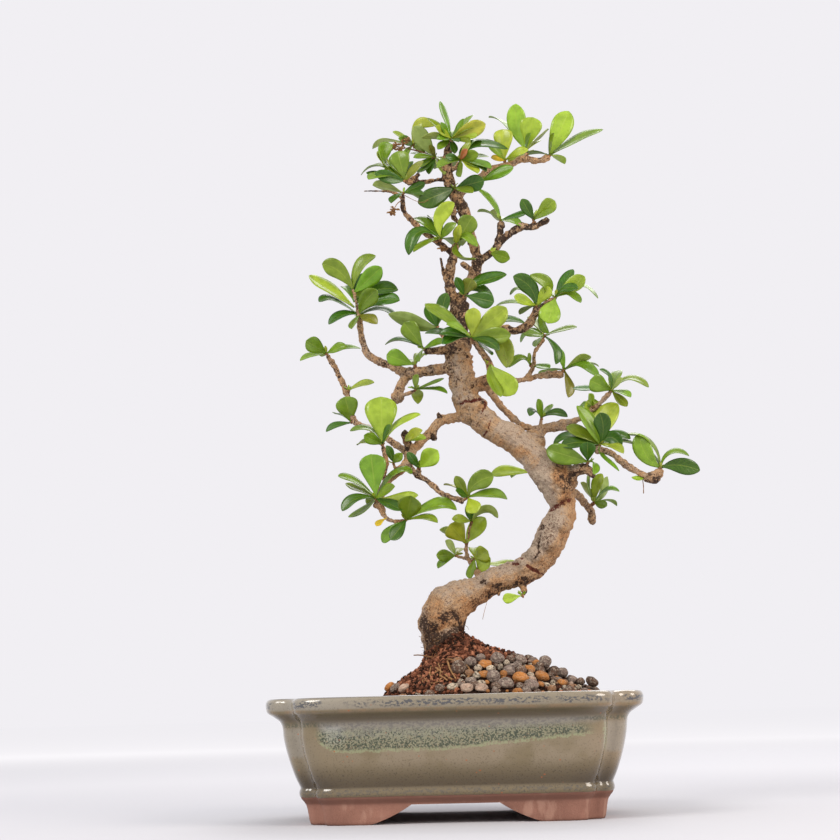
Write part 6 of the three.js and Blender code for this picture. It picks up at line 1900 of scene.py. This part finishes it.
@dataclass
class Oddments:
    """Dried flowers, threads, and root fibres at the foot of the trunk."""

    foliage: Foliage
    mound: Mound
    flowers: str = """
        -33 484 3; -27.5 484.5 2; -30 480.5 3; -35.5 434 -17; -1 402.5 -9; 18 475 -22; -36 481.5 3; -25 487 2;
        -37.5 431.5 -17
    """
    # Thin dry stalks and threads: radius, then the points that each runs through.
    threads: str = """
        0.55 -24 481 10 -14 478 8 -5 472.5 4; 0.4 -20 483.5 16 -26 481.5 8 -33 483.5 3; 0.35 -26 481.5 8 -27.5 484 2;
        0.35 -26 481.5 8 -30 480.5 3; 0.35 -28.5 442 -15 -32.5 439.5 -16 -35.5 435 -17;
        0.35 14.5 470.5 -16 17 472 -20 18 474.5 -22; 0.22 -28.5 446 -15 -20 441 -18 -14 439 -20 -10 441 -22;
        0.3 136 229 -7 136.4 224 -8 136.2 219 -8; 0.45 -29 110.5 -24 -24 110.5 -23 -18 109 -21 -12 108 -19;
        0.16 24 151 -6 23.4 146 -8 21.5 140 -8 20 134 -9; 0.5 -16 108 12 -22 101 16 -27 95 20;
        0.5 6 110 14 12 103 20 15 97 27
    """
    # Roots that lie on the soil as seen from the front: radius, then the x and z of each point.
    roots: str = """
        0.75 -6 106.5 2 104 8 101 10 96 8 92.5; 0.65 -5.5 105 -4 100 -1.5 95 0 92.5; 0.6 -14 101 -9 97 -5 94 -2 91.5;
        0.5 -11 95.5 -6 92; 0.5 -12 104 -10.5 99 -11 95; 0.4 -17 102 -18 97 -16 92; 0.35 -8 104 -12 99 -17 96;
        0.4 -22 94 -19 90 -16 87; 0.3 -4 102 3 99 6 96; 0.35 -9 94 -13 91 -19 90; 0.3 -26 97 -23 92 -24 88
    """
    fibres: int = 320

    def _flower(self, heap: Heap, at: Vector, rng: Random) -> None:
        """Adds one dried flower: curled petals round a small cup."""
        ball = self.foliage.ball
        heap.add_shaded(ball.corners * np.array((1.1, 1.1, 1.5)) + np.array(at), ball.faces, 0.2)
        for k in range(6):
            turn = k * 1.047 + rng.uniform(-0.3, 0.3)
            along = Vector((math.cos(turn), math.sin(turn) * 0.7, rng.uniform(-0.2, 0.9))).normalized()
            length = rng.uniform(2.8, 4.4)
            up = along.cross(Vector((0.2, 0.3, 1))).cross(along).normalized()
            corners, _ = self.foliage.leaf(LeafForm.bowed(at, along, up, length, 0.35, 0.55), rng)
            heap.add_shaded(corners, self.foliage.blade.faces, rng.uniform(0.3, 1))

    def build(self, dry: Material) -> None:
        """Sets down the dry bits as one piece."""
        rng = Random(SEED + 500)
        heap = Heap()
        for spot in rows_of(self.flowers):
            self._flower(heap, sight(*spot), rng)
        for radius, *numbers in rows_of(self.threads):
            path = [Vector(p) for p in smooth_run([sight(*spot) for spot in points_of(numbers, 3)], 1.5)]
            for point in path[1:]:
                point.z = max(point.z, self.mound.height(point.x, point.y) + radius) if point.z < 128 else point.z
            radii = [radius * rng.uniform(0.75, 1.2) for _ in path]
            corners, _ = laid_along(self.foliage.rod, path, radii)
            heap.add_shaded(corners, self.foliage.rod.faces, rng.uniform(0.1, 0.7))
        self._roots(heap, rng)
        self._fibres(heap, rng)
        set_down("dry_flowers_and_fibres", heap.mesh("dry"), [dry])

    def _roots(self, heap: Heap, rng: Random) -> None:
        """Adds the surface roots that are seen on the soil."""
        rod = Shape.rod(6, 14)
        for radius, *numbers in rows_of(self.roots):
            on_soil = [self.mound.seen(x, z) for x, z in points_of(numbers, 2)]
            path = [Vector(p) for p in smooth_run(on_soil, 1.2)]
            for k, point in enumerate(path):
                lift = 0.3 + 0.9 * abs(noise.noise(Vector((k * 0.35, radius * 40, numbers[0]))))
                point.z = self.mound.height(point.x, point.y) + radius + lift
            radii = [radius * rng.uniform(0.75, 1.2) for _ in path]
            corners, _ = laid_along(rod, path, radii)
            heap.add_shaded(corners, rod.faces, rng.uniform(0.45, 0.85))

    def _fibres(self, heap: Heap, rng: Random) -> None:
        """Adds the fine rootlets round the foot of the trunk."""
        rod = Shape.rod(4, 4)
        for _ in range(self.fibres):
            turn = rng.uniform(-math.pi, math.pi)
            away = Vector((math.cos(turn), math.sin(turn), 0))
            level = Vector((-6, -1, rng.uniform(103, 128 + 4 * away.x)))
            start = self.foliage.wood.skin.ray_cast(level + away * 60, -away)[0]
            if start is None:
                continue
            run = Vector((rng.uniform(-1, 1), rng.uniform(-1, 1), rng.uniform(-1.3, 0.5))) * rng.uniform(1.5, 4)
            middle = start + away * rng.uniform(0.4, 1.6) + run * 0.5
            path = [start - away * 0.3, middle, start + run + away * rng.uniform(-0.3, 0.9)]
            corners, _ = laid_along(rod, path, [0.16, 0.14, 0.08])
            heap.add_shaded(corners, rod.faces, rng.uniform(-0.3, 0.6))


@dataclass
class Studio:
    """A pale floor, soft light and the camera of the photograph's view."""

    yaw: float = 3.0
    pitch: float = 10.2
    roll: float = -1.48
    lens: float = 70.0
    air: Colour = paint(241, 239, 243)
    air_strength: float = 1.0
    floor_radius: float = 30.0
    # Where the lights are aimed, about the middle of the tree.
    aim: Spot = (0.0, 0.0, 0.22)
    # Soft lights: place, size, watts and colour.
    lights: tuple[tuple[Spot, float, float, Spot], ...] = (
        ((-1.1, -1.3, 1.5), 1.0, 24.0, (1.0, 0.97, 0.93)),
        ((1.4, -1.0, 0.9), 1.0, 20.0, (1.0, 0.91, 0.82)),
        ((0.3, 1.2, 1.5), 1.2, 12.0, (1.0, 0.98, 0.96)),
    )

    def _camera(self) -> None:
        """Sets the camera at the photograph's viewing angle."""
        yaw, pitch, roll = (math.radians(a) for a in (self.yaw, self.pitch, self.roll))
        ahead = Vector((-math.sin(yaw) * math.cos(pitch), math.cos(yaw) * math.cos(pitch), math.sin(pitch)))
        level = Vector((math.cos(yaw), math.sin(yaw), 0))
        above = level.cross(ahead)
        right = level * math.cos(roll) + above * math.sin(roll)
        up = above * math.cos(roll) - level * math.sin(roll)
        data = bpy.data.cameras.new("camera")
        data.lens, data.sensor_width, data.clip_start = self.lens, 36.0, 0.01
        camera = stood("camera", data)
        place = Vector((POT_X, 0, 0)) + EYE * MM
        camera.matrix_world = Matrix.Translation(place) @ Matrix((right, up, -ahead)).transposed().to_4x4()
        bpy.context.scene.camera = camera

    def _light(self) -> None:
        """Sets the soft lights and the pale air."""
        for number, (place, size, watts, colour) in enumerate(self.lights):
            data = bpy.data.lights.new(f"soft_light_{number}", "AREA")
            data.shape, data.size, data.energy, data.color = "DISK", size, watts, colour
            light = stood(data.name, data)
            aim = Vector(self.aim) - Vector(place)
            light.matrix_world = Matrix.Translation(place) @ aim.to_track_quat("-Z", "Y").to_matrix().to_4x4()
        world = bpy.data.worlds.new("pale_air")
        world.use_nodes = True
        background = world.node_tree.nodes["Background"]
        background.inputs["Color"].default_value = self.air
        background.inputs["Strength"].default_value = self.air_strength
        bpy.context.scene.world = world

    def build(self, paper: Material) -> None:
        """Sets the floor, the light and the camera."""
        bm = bmesh.new()
        bmesh.ops.create_circle(bm, cap_ends=True, segments=96, radius=self.floor_radius)
        mesh = as_mesh(bm, "floor")
        mesh.materials.append(paper)
        stood("floor", mesh)
        self._light()
        self._camera()


def main() -> None:
    """Builds the bonsai piece by piece round the frame, and the studio."""
    logging.basicConfig(level=logging.INFO, format="%(message)s")
    bark, leaf = Bark().material(), LeafBlade().material()
    bpy.context.scene.view_settings.view_transform = "Standard"
    Studio().build(StudioFloor().material())
    pot = Pot()
    pot.build(GlazedPot().material(), MeshPlastic().material())
    mound = Mound(pot)
    wood = Wood()
    wood.build(bark)
    Bed(mound, wood).build(Earth().material(), BakedClayBall().material())
    foliage = Foliage(wood)
    foliage.build(leaf, bark)
    Oddments(foliage, mound).build(Withered().material())


if __name__ == "__main__":
    main()
